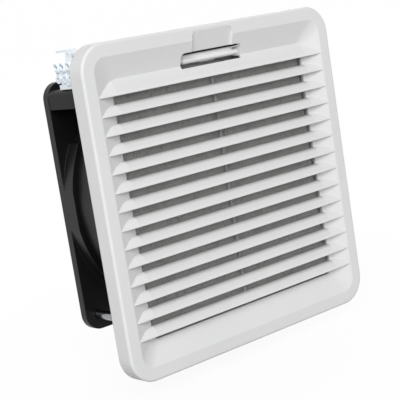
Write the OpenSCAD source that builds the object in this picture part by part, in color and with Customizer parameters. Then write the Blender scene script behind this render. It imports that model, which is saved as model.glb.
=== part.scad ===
// Cabinet filter fan: a louvred front cover on a snap-in frame, a filter mat and an axial fan behind it.
// Frame: X to the right seen from the front, Y into the cabinet, Z up, in millimetres.
// Origin: centre of the panel cut-out, on the panel's front face.

/* [Front cover] */
// Overlap of the square cover around the panel cut-out
cover_overlap = 12.5; // [11:0.5:15.5]
// Radius of the cover's four corners
cover_r = 13; // [9:0.5:18]
// Distance from the cover's front face to the panel
cover_depth = 9; // [8.6:0.1:11]
// Thickness of the cover's skirt and front face
cover_wall = 2; // [1.6:0.1:2.4]
// Rounding of the front outer edge
edge_r = 1.2; // [0.6:0.1:1.8]
// Width of the flat rim around the recess
rim_w = 6.4; // [5.5:0.1:7]
// Corner radius of the recess at the rim
recess_r = 6.6; // [4:0.2:9]
// Depth of the recess at the louvre field
dish_depth = 4.2; // [3.6:0.1:4.4]
// Run of the recess wall, measured along the face
dish_run = 10.65; // [10:0.05:11.5]
// Gap between the cover's back edge and the panel
cover_gap = 0.15; // [0.1:0.05:0.4]

/* [Louvres] */
// Number of louvre blades
louvre_count = 14; // [10:1:15]
// Lean of a blade's face from the vertical, in degrees
louvre_lean = 32; // [28:1:36]
// Length of a blade's leaning face
louvre_face_l = 3; // [2.6:0.1:3.6]
// Radius of the bend between a blade's face and its roof
louvre_bend_r = 2.8; // [2.4:0.1:3]
// Radius of a blade's front edge
louvre_nose_r = 0.35; // [0.25:0.05:0.5]
// Thickness of a blade at its bend
louvre_t = 1.6; // [1.2:0.1:1.8]
// Depth of the louvre field behind the recess floor
louvre_back = 1.5; // [1.2:0.1:1.7]
// Width of the stiffening rib behind the blades
rib_w = 1.2; // [0.8:0.1:2]

/* [Latch] */
// Width of the window for the latch bar
window_w = 36.8; // [35:0.2:38]
// Height of the window for the latch bar
window_h = 6.8; // [6.4:0.1:7.2]
// Room beside the latch bar for its stubs and its spring
bar_room = 2.9; // [2.7:0.1:4]
// Height of the latch bar
bar_h = 4; // [3.6:0.1:4.4]
// Thickness of the latch bar
bar_t = 2.1; // [1.8:0.1:2.4]
// Diameter of the latch bar's pivot stubs
stub_d = 3; // [2.4:0.1:3.2]
// Width of the hook on the latch bar
hook_w = 9; // [6:0.5:11]
// Width of the finger scoop above the window
scoop_w = 24.4; // [20:0.2:26]
// Height of the finger scoop
scoop_h = 9.2; // [8:0.1:9.4]
// Depth of the finger scoop at the window
scoop_depth = 3.5; // [2.6:0.1:3.9]

/* [Mounting frame] */
// Room between the fan and the edge of the panel cut-out
fan_room = 3; // [2.5:0.25:4]
// Gap between the frame's collar and the cut-out
cutout_gap = 0.7; // [0.4:0.1:1]
// Thickness of the collar's wall
collar_wall = 2; // [1.6:0.1:2.2]
// Depth of the collar behind the panel
collar_depth = 9.3; // [8.8:0.1:12]
// Thickness of the flange in front of the panel
flange_t = 1.4; // [1.2:0.1:1.8]
// Gap between the flange and the cover's skirt
flange_gap = 3; // [2.8:0.1:3.6]
// Thickness of the collar's rear plate
plate_t = 4; // [3:0.1:4.4]
// Thickness of the panel gasket
gasket_t = 1.6; // [1.2:0.1:1.8]
// Width of the panel gasket
gasket_w = 6; // [4:0.2:6.4]
// Thickest panel that the spring clips hold
panel_t = 2.3; // [2.1:0.1:2.6]
// Width of a spring clip
clip_w = 9; // [6:0.5:14]
// Distance between the spring clips of one side
clip_pitch = 64; // [40:1:90]
// Diameter of the hinge pins
hinge_pin_d = 2; // [1.6:0.1:2.2]
// Distance of the hinge knuckles from the middle
hinge_x = 48; // [36:1:54]
// Width of a hinge knuckle
knuckle_w = 8; // [6:0.5:10]

/* [Filter mat and guard] */
// Gap around the filter mat
mat_gap = 0.4; // [0.3:0.1:1.2]
// Number of rings in the guard grid
grid_rings = 4; // [3:1:5]
// Width of a ring or spoke in the guard grid
grid_bar_w = 1.5; // [1.2:0.1:2]
// Number of spokes in the guard grid
grid_spokes = 8; // [6:1:12]

/* [Fan] */
// Width and height of the fan, which also sets the cut-out and the cover
fan_w = 119; // [110:0.5:132]
// Depth of the fan
fan_depth = 38; // [37.6:0.2:40]
// Corner radius of the fan's flanges
fan_r = 8; // [7:0.5:11]
// Thickness of a fan flange
fan_flange_t = 4; // [3:0.2:4.6]
// Distance from the fan's edge to its screw holes
hole_edge = 7.1; // [6.9:0.1:7.3]
// Least width of the fan's flange beside the airway
airway_edge = 3.5; // [3:0.1:4]
// Thickness of the barrel around the airway
barrel_wall = 1.6; // [1.2:0.1:2]
// Length of the collar that takes the end of the barrel
collar_ring_l = 7; // [5:0.2:9]
// Thickness of that collar
collar_ring_t = 2.6; // [2.2:0.1:2.8]
// Radius of the rounded inlet lip
inlet_r = 2; // [1:0.1:2.4]
// Number of struts that carry the motor
strut_count = 4; // [3:1:6]
// Width of a strut
strut_w = 5; // [3:0.5:7]
// Diameter of the motor base
base_d = 55; // [50:1:58]

/* [Impeller and motor] */
// Number of impeller blades
blade_count = 7; // [5:1:7]
// Diameter of the impeller's hub
hub_d = 61; // [58:0.5:63]
// Thickness of the hub's wall
hub_wall = 2; // [1.6:0.1:2.2]
// Gap between the blade tips and the airway
tip_gap = 0.8; // [0.6:0.1:1.5]
// Axial height of a blade
blade_h = 22; // [18:0.5:22.4]
// Angle that a blade sweeps around the hub, in degrees
blade_sweep = 44; // [36:1:46]
// Thickness of a blade at its middle
blade_t = 2.2; // [1.6:0.1:3]
// Diameter of the shaft
shaft_d = 5; // [4:0.1:5.2]
// Outer diameter of the ball bearings
bearing_d = 14; // [13:0.5:15]
// Width of the ball bearings
bearing_w = 5; // [4:0.2:5.4]
// Thickness of the rotor cup's wall
cup_wall = 1.25; // [1:0.05:1.5]
// Radial thickness of the rotor cage, in percent of the hub's radius
cage_share = 12.5; // [10:0.5:14.5]
// Air gap between rotor and stator
air_gap = 0.4; // [0.3:0.05:0.6]
// Length of the stator core
core_l = 16; // [12:0.5:16.4]
// Width of a stator pole, in percent of the hub's radius
pole_share = 33; // [27:1:36]
// Thickness of a coil, in percent of the hub's radius
coil_share = 8; // [5:0.5:9]

/* [Screws and finger guard] */
// Diameter of the fan screws
screw_d = 4; // [3.6:0.1:4.1]
// Diameter of a screw head
screw_head_d = 7.4; // [6.4:0.2:8.4]
// Height of a screw head
screw_head_h = 2.2; // [1.6:0.1:2.6]
// Diameter of the guard's wire
wire_d = 1.8; // [1.4:0.1:2.2]
// Number of wire rings in the finger guard
guard_rings = 6; // [5:1:7]

/* [Terminal] */
// Height of the terminal carrier
carrier_h = 8.8; // [8:0.1:9.4]
// Width of the terminal carrier
carrier_w = 15.8; // [15:0.1:16.4]
// Length of the terminal carrier
carrier_l = 23.3; // [20:0.1:25]
// Number of poles
terminal_poles = 3; // [2:1:3]
// Distance between the poles
pole_pitch = 4.8; // [4.6:0.1:5]
// Width of one pole
terminal_pole_w = 4.4; // [4:0.1:4.5]
// Height of the terminal's poles above its foot
terminal_h = 9.8; // [9.2:0.1:10.2]
// Depth of the terminal block
terminal_d = 9; // [8:0.1:10]
// Length of the release lever from its pivot
lever_l = 11; // [9:0.1:11.4]
// Thickness of the release lever
lever_t = 1.2; // [1:0.1:1.6]

/* [Hidden] */
$fn = 64;

// Small values shared by many pieces
eps = 0.1;
skin = 0.01;
run_fit = 0.04;
slip_fit = 0.05;
seat_gap = 0.3;
swing_gap = 0.6;
soft_r = 3;

// Front cover, worked out from the sizes above
cutout_w = fan_w + 2 * fan_room;
cover_w = cutout_w + 2 * cover_overlap;
front_y = -cover_depth;
cover_half = cover_w / 2;
recess_half = cover_half - rim_w;
field_half = recess_half - dish_run;
floor_y = front_y + dish_depth;
cover_back_y = floor_y + louvre_back;
first_drop = 6.55;
last_rise = 2.1;
louvre_pitch = (2 * field_half - first_drop - last_rise) / (louvre_count - 1);
louvre_tail = 4;
louvre_crown = 0.05;
bend_key = 20;
louvre_l = cover_depth + louvre_tail;
boss_wall = 1.6;
recess_lead = 0.3;
field_r = 3;
rib_set_in = 0.3;

// Latch, placed from the upper edge of the louvre field
window_drop = 1.05;
window_z = field_half - window_drop;
window_r = 2;
bar_set_in = 0.2;
bar_front_y = cover_back_y + bar_set_in;
bar_r = 0.45 * bar_t;
bar_lift = 0.75;
bar_w = window_w - 2 * bar_room;
pivot_depth = 0.9;
pivot_rise = 3.2;
pivot_y = bar_front_y + pivot_depth;
pivot_z = window_z + pivot_rise;
ear_w = 2.6;
ear_h = 4.4;
ear_wall = 1.1;
ear_half = window_w / 2 + ear_w;
ear_back_y = pivot_y + stub_d / 2 + ear_wall;
stub_reach = 1.8;
hook_t = 1.1;
tooth_t = 1.2;
tooth_bite = 1.4;
scoop_r = 3;
scoop_wall = 1.6;
spring_wire = 0.5;
spring_turns = 4;

// Mounting frame, worked out from the cut-out and the cover
flange_half = cover_half - cover_wall - flange_gap;
flange_front_y = -gasket_t - flange_t;
flange_r = 8;
collar_half = cutout_w / 2 - cutout_gap;
collar_in = collar_half - collar_wall;
plate_y = collar_depth - plate_t;
notch_side = 0.8;
notch_up = 3.9;
notch_down = 3.1;
notch_half = ear_half + notch_side;
notch_back_y = ear_back_y + swing_gap;
notch_top_z = pivot_z + notch_up;
notch_floor_z = pivot_z - notch_down;
catch_t = 1.2;
tooth_gap = 0.2;
tooth_y = notch_back_y + catch_t + tooth_gap;
catch_gap = 0.4;
hinge_set_out = 2.2;
hinge_y = -hinge_set_out;
hinge_lug_r = hinge_set_out - eps;
hinge_z = -cover_half + hinge_lug_r;
knuckle_r = hinge_lug_r - seat_gap;
lug_w = 4;
lug_gap = 0.4;
pin_inset = 0.2;
pin_half = knuckle_w / 2 + lug_gap + lug_w - pin_inset;
clip_sheet = 0.5;
clip_reach = 2.4;
clip_foot = 1.5;
barb_h = 0.8;
gasket_inset = 0.5;

// Filter mat and guard grid
grid_t = 1.3;
grid_edge = 0.8;
grid_ledge = 1.5;
grid_gap = 0.2;
grid_seat_r = collar_in - grid_edge;
grid_ring_w = 2.8;
grid_open_r = grid_seat_r - grid_ledge;
mat_room = 0.4;
mat_side = 0.8;
hook_room = 4.7;
hook_side = 2;
mat_back_y = plate_y - seat_gap;
mat_front_y = cover_back_y + swing_gap;

// Fan, stacked behind the frame's rear plate
fan_y = collar_depth;
fan_back_y = fan_y + fan_depth;
airway_d = fan_w - 2 * airway_edge;
hole_half = fan_w / 2 - hole_edge;
fan_hole_gap = 0.4;
fan_hole_d = screw_d + fan_hole_gap;
barrel_r = airway_d / 2 + barrel_wall;
ring_r = barrel_r + collar_ring_t;
base_t = 2;
base_set_in = 1;
base_rim_w = 2;
base_back_y = fan_back_y - base_set_in;
base_y = base_back_y - base_t;
base_rim_l = 6;
boss_wall_r = 3.5;
boss_r = bearing_d / 2 + boss_wall_r;
strut_t = 5;
strut_offset = 10;
strut_overlap = 0.4;
lead_z = 30;
barrel_ledge = 0.5;
barrel_seat_y = base_back_y - strut_t - barrel_ledge;

// Motor, stacked along the shaft
hub_r = hub_d / 2;
cage_t = hub_r * cage_share / 100;
pole_w = hub_r * pole_share / 100;
coil_t = hub_r * coil_share / 100;
hub_set_in = 3;
hub_short = 12;
hub_y = fan_y + hub_set_in;
hub_l = fan_depth - hub_short;
hub_lip = 6;
tip_r = airway_d / 2 - tip_gap;
blade_set_in = 1.8;
blade_y = hub_y + blade_set_in;
blade_edge_t = 0.8;
blade_camber = 0.35;
blade_sections = 5;
blade_steps = 8;
cup_r = hub_r - hub_wall - slip_fit;
cup_set_in = 1.3;
cup_short = 4;
cup_y = hub_y + cup_set_in;
cup_l = hub_l - cup_short;
cage_r = cup_r - cup_wall - slip_fit;
stator_r = cage_r - cage_t - air_gap;
tube_in_r = bearing_d / 2 + slip_fit;
tube_wall = 1.15;
tube_out_r = tube_in_r + tube_wall;
core_set_in = 5.4;
core_y = cup_y + core_set_in;
core_bore_r = tube_out_r + slip_fit;
yoke_share = 10.5;
yoke_t = hub_r * yoke_share / 100;
yoke_r = core_bore_r + yoke_t;
shoe_share = 11;
shoe_t = hub_r * shoe_share / 100;
shoe_angle = 36;
pole_count = 4;
coil_overhang = 3;
coil_gap = 0.3;
tube_reach = 1.5;
bearing_set_in = 0.4;
race_groove = 0.4;
shaft_short = 1.3;
tube_y = core_y - tube_reach;
front_bearing_y = tube_y + bearing_set_in;
rear_bearing_y = base_y - bearing_w - seat_gap;
shaft_back_y = base_back_y - shaft_short;
clip_t = 0.6;
clip_edge = 1.6;
groove_depth = 0.4;
washer_t = 0.5;
washer_edge = 1.8;
cage_reach = 0.5;
cap_t = 0.9;
cap_inset = 0.2;
cup_boss_wall = 2;
washer_y = rear_bearing_y + bearing_w + slip_fit;
shaft_clip_y = washer_y + washer_t + slip_fit;

// Screws and finger guard
lug_t = 1.6;
lug_edge = 0.9;
lug_r = screw_head_d / 2 + lug_edge;
guard_hole_r = screw_d / 2 + seat_gap;
tip_set_in = 0.2;
screw_tip_y = plate_y + tip_set_in;
guard_in_r = 7;
guard_edge = 2;
weld = 0.2;
arm_lap = 0.5;
guard_out_r = airway_d / 2 - guard_edge;
arm_y = fan_back_y + wire_d / 2;
wire_ring_y = arm_y + wire_d - weld;

// Terminal, on the upper left corner of the fan; it is drawn with its row along X and then turned
carrier_inset = 0.2;
carrier_rise = 3.6;
carrier_x = -fan_w / 2 + carrier_inset;
carrier_top_z = hole_half + carrier_rise;
carrier_back_y = fan_back_y - fan_flange_t;
foot_t = 2.2;
foot_z = carrier_top_z;
pole_z = foot_z + foot_t;
pole_top_z = pole_z + terminal_h;
face_inset = 0.8;
face_x = carrier_x + face_inset;
row_inset = 8.5;
row_y = carrier_back_y - row_inset;
pole_r = terminal_pole_w / 2;
row_end = (terminal_poles - 1) * pole_pitch + pole_r;
nose_l = 2.6;
nose_z = pole_top_z - nose_l;
waist_depth = 1.7;
taper_rise = 4.7;
foot_start = 1.2;
foot_front = 0.2;
foot_edge = 0.4;
foot_slot_w = 3;
foot_slot_d = 0.8;
foot_slot_h = 0.7;
foot_slot_rise = 0.9;
pole_groove_w = 0.4;
pole_groove_l = 1.2;
wire_drop = 2;
wire_z = pole_top_z - wire_drop;
wire_l = 7;
wire_r = 1.1;
funnel_r = 1.5;
funnel_l = 1.2;
clamp_l = 3.8;
screw_ring_r = 1.9;
screw_ring_l = 0.9;
screw_ring_rise = 2.4;
screw_ring_z = pole_z + screw_ring_rise;
clamp_screw_r = 0.9;
clamp_screw_l = 5;
slot_w = 0.3;
slot_depth = 0.4;
head_set_in = 0.35;
clamp_head_y = waist_depth - screw_ring_l + head_set_in;
lever_side = 1;
lever_axis_rise = 3.2;
pivot_x = row_end - pole_r - lever_side;
lever_axis_z = pole_top_z + lever_axis_rise;
lever_knuckle_r = 1.6;
lever_pin_r = 0.7;
lever_ear = 1.4;
lever_rise = 1.2;
lever_neck = 3.3;
lever_pin_inset = 0.2;
post_w = 3.7;
post_inset = 2;

// Extrude a shape drawn in X and Z from depth y0 to depth y1
module along_y(y0, y1) {
    translate([0, y1, 0]) rotate([90, 0, 0]) linear_extrude(y1 - y0) children();
}

// Extrude a shape drawn in Y and Z from x0 to x1
module along_x(x0, x1) {
    translate([x0, 0, 0]) rotate([90, 0, 90]) linear_extrude(x1 - x0) children();
}

// Revolve a shape drawn in radius and depth about the Y axis
module about_y() {
    rotate([-90, 0, 0]) rotate_extrude() children();
}

// A disc or ring about the Y axis
module ring_y(y0, y1, r_out, r_in = 0) {
    about_y() translate([r_in, y0]) square([r_out - r_in, y1 - y0]);
}

// A box from its low corner to its high corner
module box(low, high) {
    translate(low) cube(high - low);
}

// A square with rounded corners, centred
module rounded_square(w, r) {
    square([w - 2 * r, w], center = true);
    square([w, w - 2 * r], center = true);
    for (x = [-1, 1], z = [-1, 1]) {
        translate([x * (w / 2 - r), z * (w / 2 - r)]) circle(r);
    }
}

// A rectangle with rounded corners, centred
module rounded_rectangle(w, h, r) {
    square([w - 2 * r, h], center = true);
    square([w, h - 2 * r], center = true);
    for (x = [-1, 1], z = [-1, 1]) {
        translate([x * (w / 2 - r), z * (h / 2 - r)]) circle(r);
    }
}

// A flat ring
module flat_ring(r_out, r_in) {
    difference() {
        circle(r_out);
        circle(r_in);
    }
}

// Place a child at each of the fan's four screw holes
module at_fan_holes() {
    for (x = [-1, 1], z = [-1, 1]) {
        translate([x * hole_half, 0, z * hole_half]) children();
    }
}

// Section through the cover block, with its two front corners rounded
module cover_section() {
    back = -cover_gap;
    translate([front_y, -cover_half + edge_r]) square([back - front_y, cover_w - 2 * edge_r]);
    translate([front_y + edge_r, -cover_half]) square([back - front_y - edge_r, cover_w]);
    for (s = [-1, 1]) {
        translate([front_y + edge_r, s * (cover_half - edge_r)]) circle(edge_r);
    }
}

// One rounded corner of the cover block
module cover_corner() {
    back = -cover_gap;
    about_y() {
        translate([0, front_y]) square([cover_r - edge_r, back - front_y]);
        translate([0, front_y + edge_r]) square([cover_r, back - front_y - edge_r]);
        translate([cover_r - edge_r, front_y + edge_r]) circle(edge_r);
    }
}

// The cover's outside as a solid block
module cover_block() {
    straight = cover_half - cover_r;
    along_x(-straight, straight) cover_section();
    rotate([0, 90, 0]) along_x(-straight, straight) cover_section();
    for (x = [-1, 1], z = [-1, 1]) {
        translate([x * straight, 0, z * straight]) cover_corner();
    }
}

// The recess: sloping walls down to the louvre field, then the field itself
module recess() {
    slope = dish_run / dish_depth;
    hull() {
        along_y(front_y - recess_lead, front_y - recess_lead + skin)
            rounded_square(2 * (recess_half + slope * recess_lead), recess_r, $fn = 32);
        along_y(floor_y - skin, floor_y) rounded_square(2 * field_half, field_r, $fn = 32);
    }
    along_y(floor_y - eps, cover_back_y + eps) rounded_square(2 * field_half, field_r);
}

// Material behind the recess walls
module recess_back() {
    hull() {
        along_y(front_y + cover_wall - 2 * eps, front_y + cover_wall - eps)
            rounded_square(2 * recess_half, recess_r, $fn = 32);
        along_y(cover_back_y - eps, cover_back_y)
            rounded_square(2 * (field_half + boss_wall), field_r + boss_wall, $fn = 32);
    }
}

// Section of one louvre blade about its front edge: a leaning face that bends back into a level roof;
// the bend runs on into the roof, and its crown stands just above it
module louvre_section(face_l) {
    roof_turn = louvre_lean - 90;
    bend_in_r = louvre_bend_r - louvre_t;
    bend_end = louvre_lean - bend_key;
    reach = 2 * louvre_bend_r;
    rotate(-roof_turn) {
        circle(louvre_nose_r, $fn = 24);
        polygon([
            [0, louvre_nose_r],
            [face_l, louvre_nose_r],
            [face_l, louvre_nose_r - louvre_t],
            [0, -louvre_nose_r]
        ]);
        translate([face_l, louvre_nose_r - louvre_bend_r]) {
            intersection() {
                flat_ring(louvre_bend_r, bend_in_r);
                polygon([[0, 0], [0, reach], [reach * cos(bend_end), reach * sin(bend_end)]]);
            }
            rotate(roof_turn) translate([bend_in_r / 6, bend_in_r - 3 * louvre_crown])
                square([louvre_l, louvre_t + 2 * louvre_crown]);
        }
    }
}

// The louvre blades and the rib behind them; the first face runs straight up to the recess wall
module louvres() {
    for (i = [0 : louvre_count - 1]) {
        edge_z = field_half - first_drop - i * louvre_pitch;
        along_x(-recess_half - 1, recess_half + 1)
            translate([front_y + louvre_nose_r, edge_z + louvre_nose_r])
                louvre_section(i == 0 ? louvre_l : louvre_face_l);
    }
    box([-rib_w / 2, floor_y + rib_set_in, -field_half - eps],
        [rib_w / 2, cover_back_y + eps, field_half + eps]);
}

// Window outline for the latch bar, round at its upper corners
module window_outline() {
    translate([-window_w / 2, window_z]) square([window_w, window_h - window_r]);
    translate([-window_w / 2 + window_r, window_z]) square([window_w - 2 * window_r, window_h]);
    for (s = [-1, 1]) {
        translate([s * (window_w / 2 - window_r), window_z + window_h - window_r]) circle(window_r);
    }
}

// Ramp of the finger scoop, in Y and Z, pushed back by a wall
module scoop_ramp(wall) {
    low = window_z + window_h;
    high = low + scoop_h;
    polygon([
        [front_y - eps + wall, high + eps],
        [front_y + scoop_depth + wall, low],
        [front_y - eps, low],
        [front_y - eps, high + eps]
    ]);
}

// Finger scoop cut from the rim and the upper recess wall
module scoop_cut() {
    low = window_z + window_h - window_r;
    high = window_z + window_h + scoop_h;
    intersection() {
        along_x(-scoop_w, scoop_w) union() {
            scoop_ramp(0);
            translate([front_y - eps, low]) square([scoop_depth + eps, window_r + eps]);
        }
        along_y(front_y - 1, 0) translate([0, (low - 2 * scoop_r + high) / 2])
            rounded_rectangle(scoop_w, high - low + 2 * scoop_r, scoop_r);
    }
}

// Wall behind the finger scoop
module scoop_back() {
    half = scoop_w / 2 + scoop_wall;
    intersection() {
        along_x(-half, half) scoop_ramp(scoop_wall);
        box([-half, front_y + edge_r, 0], [half, 0, cover_half - edge_r]);
    }
}

// Ears that carry the latch bar's stubs
module latch_ears() {
    for (s = [-1, 1]) {
        mid = s * (window_w + ear_w) / 2;
        box([mid - ear_w / 2, front_y + cover_wall - eps, pivot_z - ear_h / 2],
            [mid + ear_w / 2, ear_back_y, pivot_z + ear_h / 2]);
    }
}

// Lugs along the cover's lower edge that turn on the hinge pins
module cover_lugs() {
    for (s = [-1, 1], d = [-1, 1]) {
        mid = s * hinge_x + d * (knuckle_w / 2 + lug_gap + lug_w / 2);
        along_x(mid - lug_w / 2, mid + lug_w / 2) translate([hinge_y, hinge_z]) circle(hinge_lug_r);
    }
}

// Room that the frame's knuckles and the swing need in the cover's lower edge
module hinge_cuts() {
    for (s = [-1, 1]) {
        box([s * hinge_x - knuckle_w / 2 - lug_gap, hinge_y - hinge_lug_r - swing_gap, -cover_half - eps],
            [s * hinge_x + knuckle_w / 2 + lug_gap, eps, hinge_z + hinge_lug_r + eps]);
    }
    along_x(-cover_half, cover_half) translate([hinge_y, hinge_z]) difference() {
        translate([0, -hinge_lug_r - eps]) square([hinge_lug_r + 2 * eps, hinge_lug_r + eps]);
        circle(hinge_lug_r);
    }
    for (s = [-1, 1]) {
        along_x(s * hinge_x - pin_half - eps, s * hinge_x + pin_half + eps)
            translate([hinge_y, hinge_z]) circle(hinge_pin_d / 2 + run_fit);
    }
}

module front_cover() {
    color([0.85, 0.86, 0.86]) difference() {
        union() {
            difference() {
                cover_block();
                along_y(front_y + cover_wall, eps)
                    rounded_square(cover_w - 2 * cover_wall, cover_r - cover_wall);
            }
            recess_back();
            latch_ears();
            scoop_back();
            cover_lugs();
        }
        difference() {
            recess();
            louvres();
        }
        along_y(front_y - 1, cover_back_y + 1) window_outline();
        scoop_cut();
        hinge_cuts();
        along_x(-ear_half - eps, ear_half + eps) translate([pivot_y, pivot_z]) circle(stub_d / 2 + run_fit);
    }
}

module latch_bar() {
    tooth_top = pivot_z + tooth_bite;
    arm_z = pivot_z - bar_h / 2 + bar_set_in;
    color([0.9, 0.9, 0.9]) union() {
        along_x(-bar_w / 2, bar_w / 2)
            translate([bar_front_y + bar_t / 2, pivot_z + bar_lift]) rounded_rectangle(bar_t, bar_h, bar_r);
        along_x(-window_w / 2 - stub_reach, window_w / 2 + stub_reach)
            translate([pivot_y, pivot_z]) circle(stub_d / 2);
        box([-hook_w / 2, pivot_y, arm_z], [hook_w / 2, tooth_y + tooth_t, arm_z + hook_t]);
        box([-hook_w / 2, tooth_y, arm_z], [hook_w / 2, tooth_y + tooth_t, tooth_top]);
    }
}

module latch_spring() {
    pitch = spring_wire + slip_fit;
    color([0.35, 0.35, 0.36]) for (i = [0 : spring_turns - 1]) {
        translate([-bar_w / 2 - spring_wire - i * pitch, pivot_y, pivot_z])
            rotate([0, 90, 0]) rotate_extrude()
                translate([stub_d / 2 + spring_wire / 2 + slip_fit, 0]) circle(spring_wire / 2, $fn = 24);
    }
}

module hinge_pins() {
    color([0.72, 0.73, 0.75]) for (s = [-1, 1]) {
        along_x(s * hinge_x - pin_half, s * hinge_x + pin_half)
            translate([hinge_y, hinge_z]) circle(hinge_pin_d / 2);
    }
}

// Knuckles of the frame that hold the hinge pins
module frame_knuckles() {
    for (s = [-1, 1]) {
        along_x(s * hinge_x - knuckle_w / 2, s * hinge_x + knuckle_w / 2) {
            translate([hinge_y, hinge_z]) circle(knuckle_r);
            translate([flange_front_y, hinge_z]) square([flange_t, -flange_half - hinge_z + 1]);
        }
    }
}

module mounting_frame() {
    color([0.82, 0.83, 0.83]) difference() {
        union() {
            along_y(flange_front_y, -gasket_t) rounded_square(2 * flange_half, flange_r);
            along_y(flange_front_y, collar_depth) rounded_square(2 * collar_half, soft_r + collar_wall);
            frame_knuckles();
        }
        along_y(flange_front_y - eps, plate_y) rounded_square(2 * collar_in, soft_r);
        ring_y(plate_y - eps, collar_depth + eps, grid_open_r);
        ring_y(plate_y - eps, plate_y + grid_t, grid_seat_r);
        at_fan_holes() ring_y(plate_y - eps, collar_depth + eps, screw_d / 2 + slip_fit);
        box([-notch_half, flange_front_y - eps, notch_floor_z], [notch_half, notch_back_y, notch_top_z]);
        box([-hook_w / 2 - catch_gap, notch_back_y + catch_t, collar_in - 1],
            [hook_w / 2 + catch_gap, tooth_y + tooth_t + tooth_gap, collar_half + eps]);
        along_x(-hinge_x - pin_half, hinge_x + pin_half)
            translate([hinge_y, hinge_z]) circle(hinge_pin_d / 2 + run_fit / 2);
    }
}

module panel_gasket() {
    outer = flange_half - gasket_inset;
    color([0.16, 0.16, 0.17]) difference() {
        along_y(-gasket_t, 0) rounded_square(2 * outer, flange_r - gasket_inset);
        along_y(-gasket_t - eps, eps) rounded_square(2 * (outer - gasket_w), soft_r + 1);
        box([-notch_half, -gasket_t - eps, 0], [notch_half, eps, notch_top_z]);
    }
}

// Section of one spring clip: a leaf that leans out to a barb behind the panel
module clip_section() {
    polygon([
        [0, collar_depth - clip_sheet],
        [clip_sheet, collar_depth - clip_sheet],
        [clip_sheet, collar_depth - clip_sheet - clip_foot],
        [clip_reach + clip_sheet, panel_t + barb_h],
        [clip_reach, panel_t],
        [clip_reach - clip_sheet, panel_t + barb_h - 2 * eps],
        [0, collar_depth - 2 * clip_sheet - clip_foot]
    ]);
}

module panel_clips() {
    color([0.7, 0.71, 0.73]) for (s = [0, 1], z = [-1, 1]) {
        mirror([s, 0, 0]) translate([collar_half, 0, z * clip_pitch / 2 - clip_w / 2])
            linear_extrude(clip_w) clip_section();
    }
}

module filter_mat() {
    half = collar_in - mat_gap;
    room_z = notch_floor_z - mat_room;
    hook_room_z = pivot_z - hook_room;
    side = notch_half + mat_side;
    hook_half = hook_w / 2 + hook_side;
    color([0.93, 0.93, 0.91]) difference() {
        along_y(mat_front_y, mat_back_y) rounded_square(2 * half, soft_r);
        box([-side, mat_front_y - eps, room_z], [side, mat_back_y + eps, collar_in]);
        box([-hook_half, mat_front_y - eps, hook_room_z], [hook_half, mat_back_y + eps, collar_in]);
    }
}

module guard_grid() {
    rim_r = grid_seat_r - grid_gap;
    in_r = rim_r - grid_ring_w;
    step = in_r / (grid_rings + 1);
    color([0.8, 0.81, 0.81]) along_y(plate_y, plate_y + grid_t) {
        flat_ring(rim_r, in_r);
        for (i = [1 : grid_rings]) {
            flat_ring(i * step + grid_bar_w / 2, i * step - grid_bar_w / 2);
        }
        for (i = [0 : grid_spokes - 1]) {
            rotate((i + 0.5) * 360 / grid_spokes)
                translate([step, -grid_bar_w / 2]) square([in_r - step + grid_ring_w / 2, grid_bar_w]);
        }
    }
}

// Airway through the fan, with a rounded lip at its inlet
module airway() {
    about_y() {
        translate([0, fan_y - eps]) square([airway_d / 2, fan_depth + 2 * eps]);
        difference() {
            translate([0, fan_y - eps]) square([airway_d / 2 + inlet_r, inlet_r + eps]);
            translate([airway_d / 2 + inlet_r, fan_y + inlet_r]) circle(inlet_r);
        }
    }
}

// Motor base with its rim, boss and struts, part of the rear frame
module motor_base() {
    ring_y(base_y, base_back_y, base_d / 2);
    ring_y(base_back_y - base_rim_l, base_back_y, base_d / 2, base_d / 2 - base_rim_w);
    ring_y(base_back_y - base_rim_l, base_back_y, boss_r);
    for (i = [0 : strut_count - 1]) {
        rotate([0, 45 + i * 360 / strut_count, 0])
            box([base_d / 2 - 2 * base_rim_w, base_back_y - strut_t, strut_offset - strut_w / 2],
                [airway_d / 2 + strut_overlap, base_back_y, strut_offset + strut_w / 2]);
    }
}

module fan_housing() {
    color([0.09, 0.09, 0.1]) difference() {
        union() {
            along_y(fan_y, fan_y + fan_flange_t) rounded_square(fan_w, fan_r);
            ring_y(fan_y, barrel_seat_y - slip_fit, barrel_r);
        }
        airway();
        at_fan_holes() ring_y(fan_y - eps, fan_y + fan_flange_t + eps, fan_hole_d / 2);
    }
}

// Collar around the barrel's end, flush with the flange at its sides and open beside the terminal
module collar_ring(rear_y) {
    front = rear_y - collar_ring_l;
    difference() {
        intersection() {
            ring_y(front, rear_y + eps, ring_r);
            along_y(front - eps, rear_y + 2 * eps) square(fan_w, center = true);
        }
        box([-fan_w / 2 - eps, front - eps, lead_z], [-hub_r, rear_y, carrier_top_z]);
    }
}

module fan_rear_frame() {
    rear_y = fan_back_y - fan_flange_t;
    color([0.1, 0.1, 0.11]) difference() {
        union() {
            difference() {
                union() {
                    along_y(rear_y, fan_back_y) rounded_square(fan_w, fan_r);
                    collar_ring(rear_y);
                }
                ring_y(rear_y - collar_ring_l - eps, barrel_seat_y, barrel_r + slip_fit);
                ring_y(barrel_seat_y - eps, fan_back_y + eps, airway_d / 2);
            }
            motor_base();
        }
        at_fan_holes() ring_y(rear_y - eps, fan_back_y + eps, fan_hole_d / 2);
        ring_y(base_back_y - base_rim_l - eps, fan_back_y, tube_out_r + slip_fit);
    }
}

module fan_screws() {
    head_y = fan_back_y + lug_t;
    color([0.75, 0.76, 0.78]) at_fan_holes() union() {
        ring_y(screw_tip_y, head_y + eps, screw_d / 2);
        ring_y(head_y, head_y + screw_head_h, screw_head_d / 2);
    }
}

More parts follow.
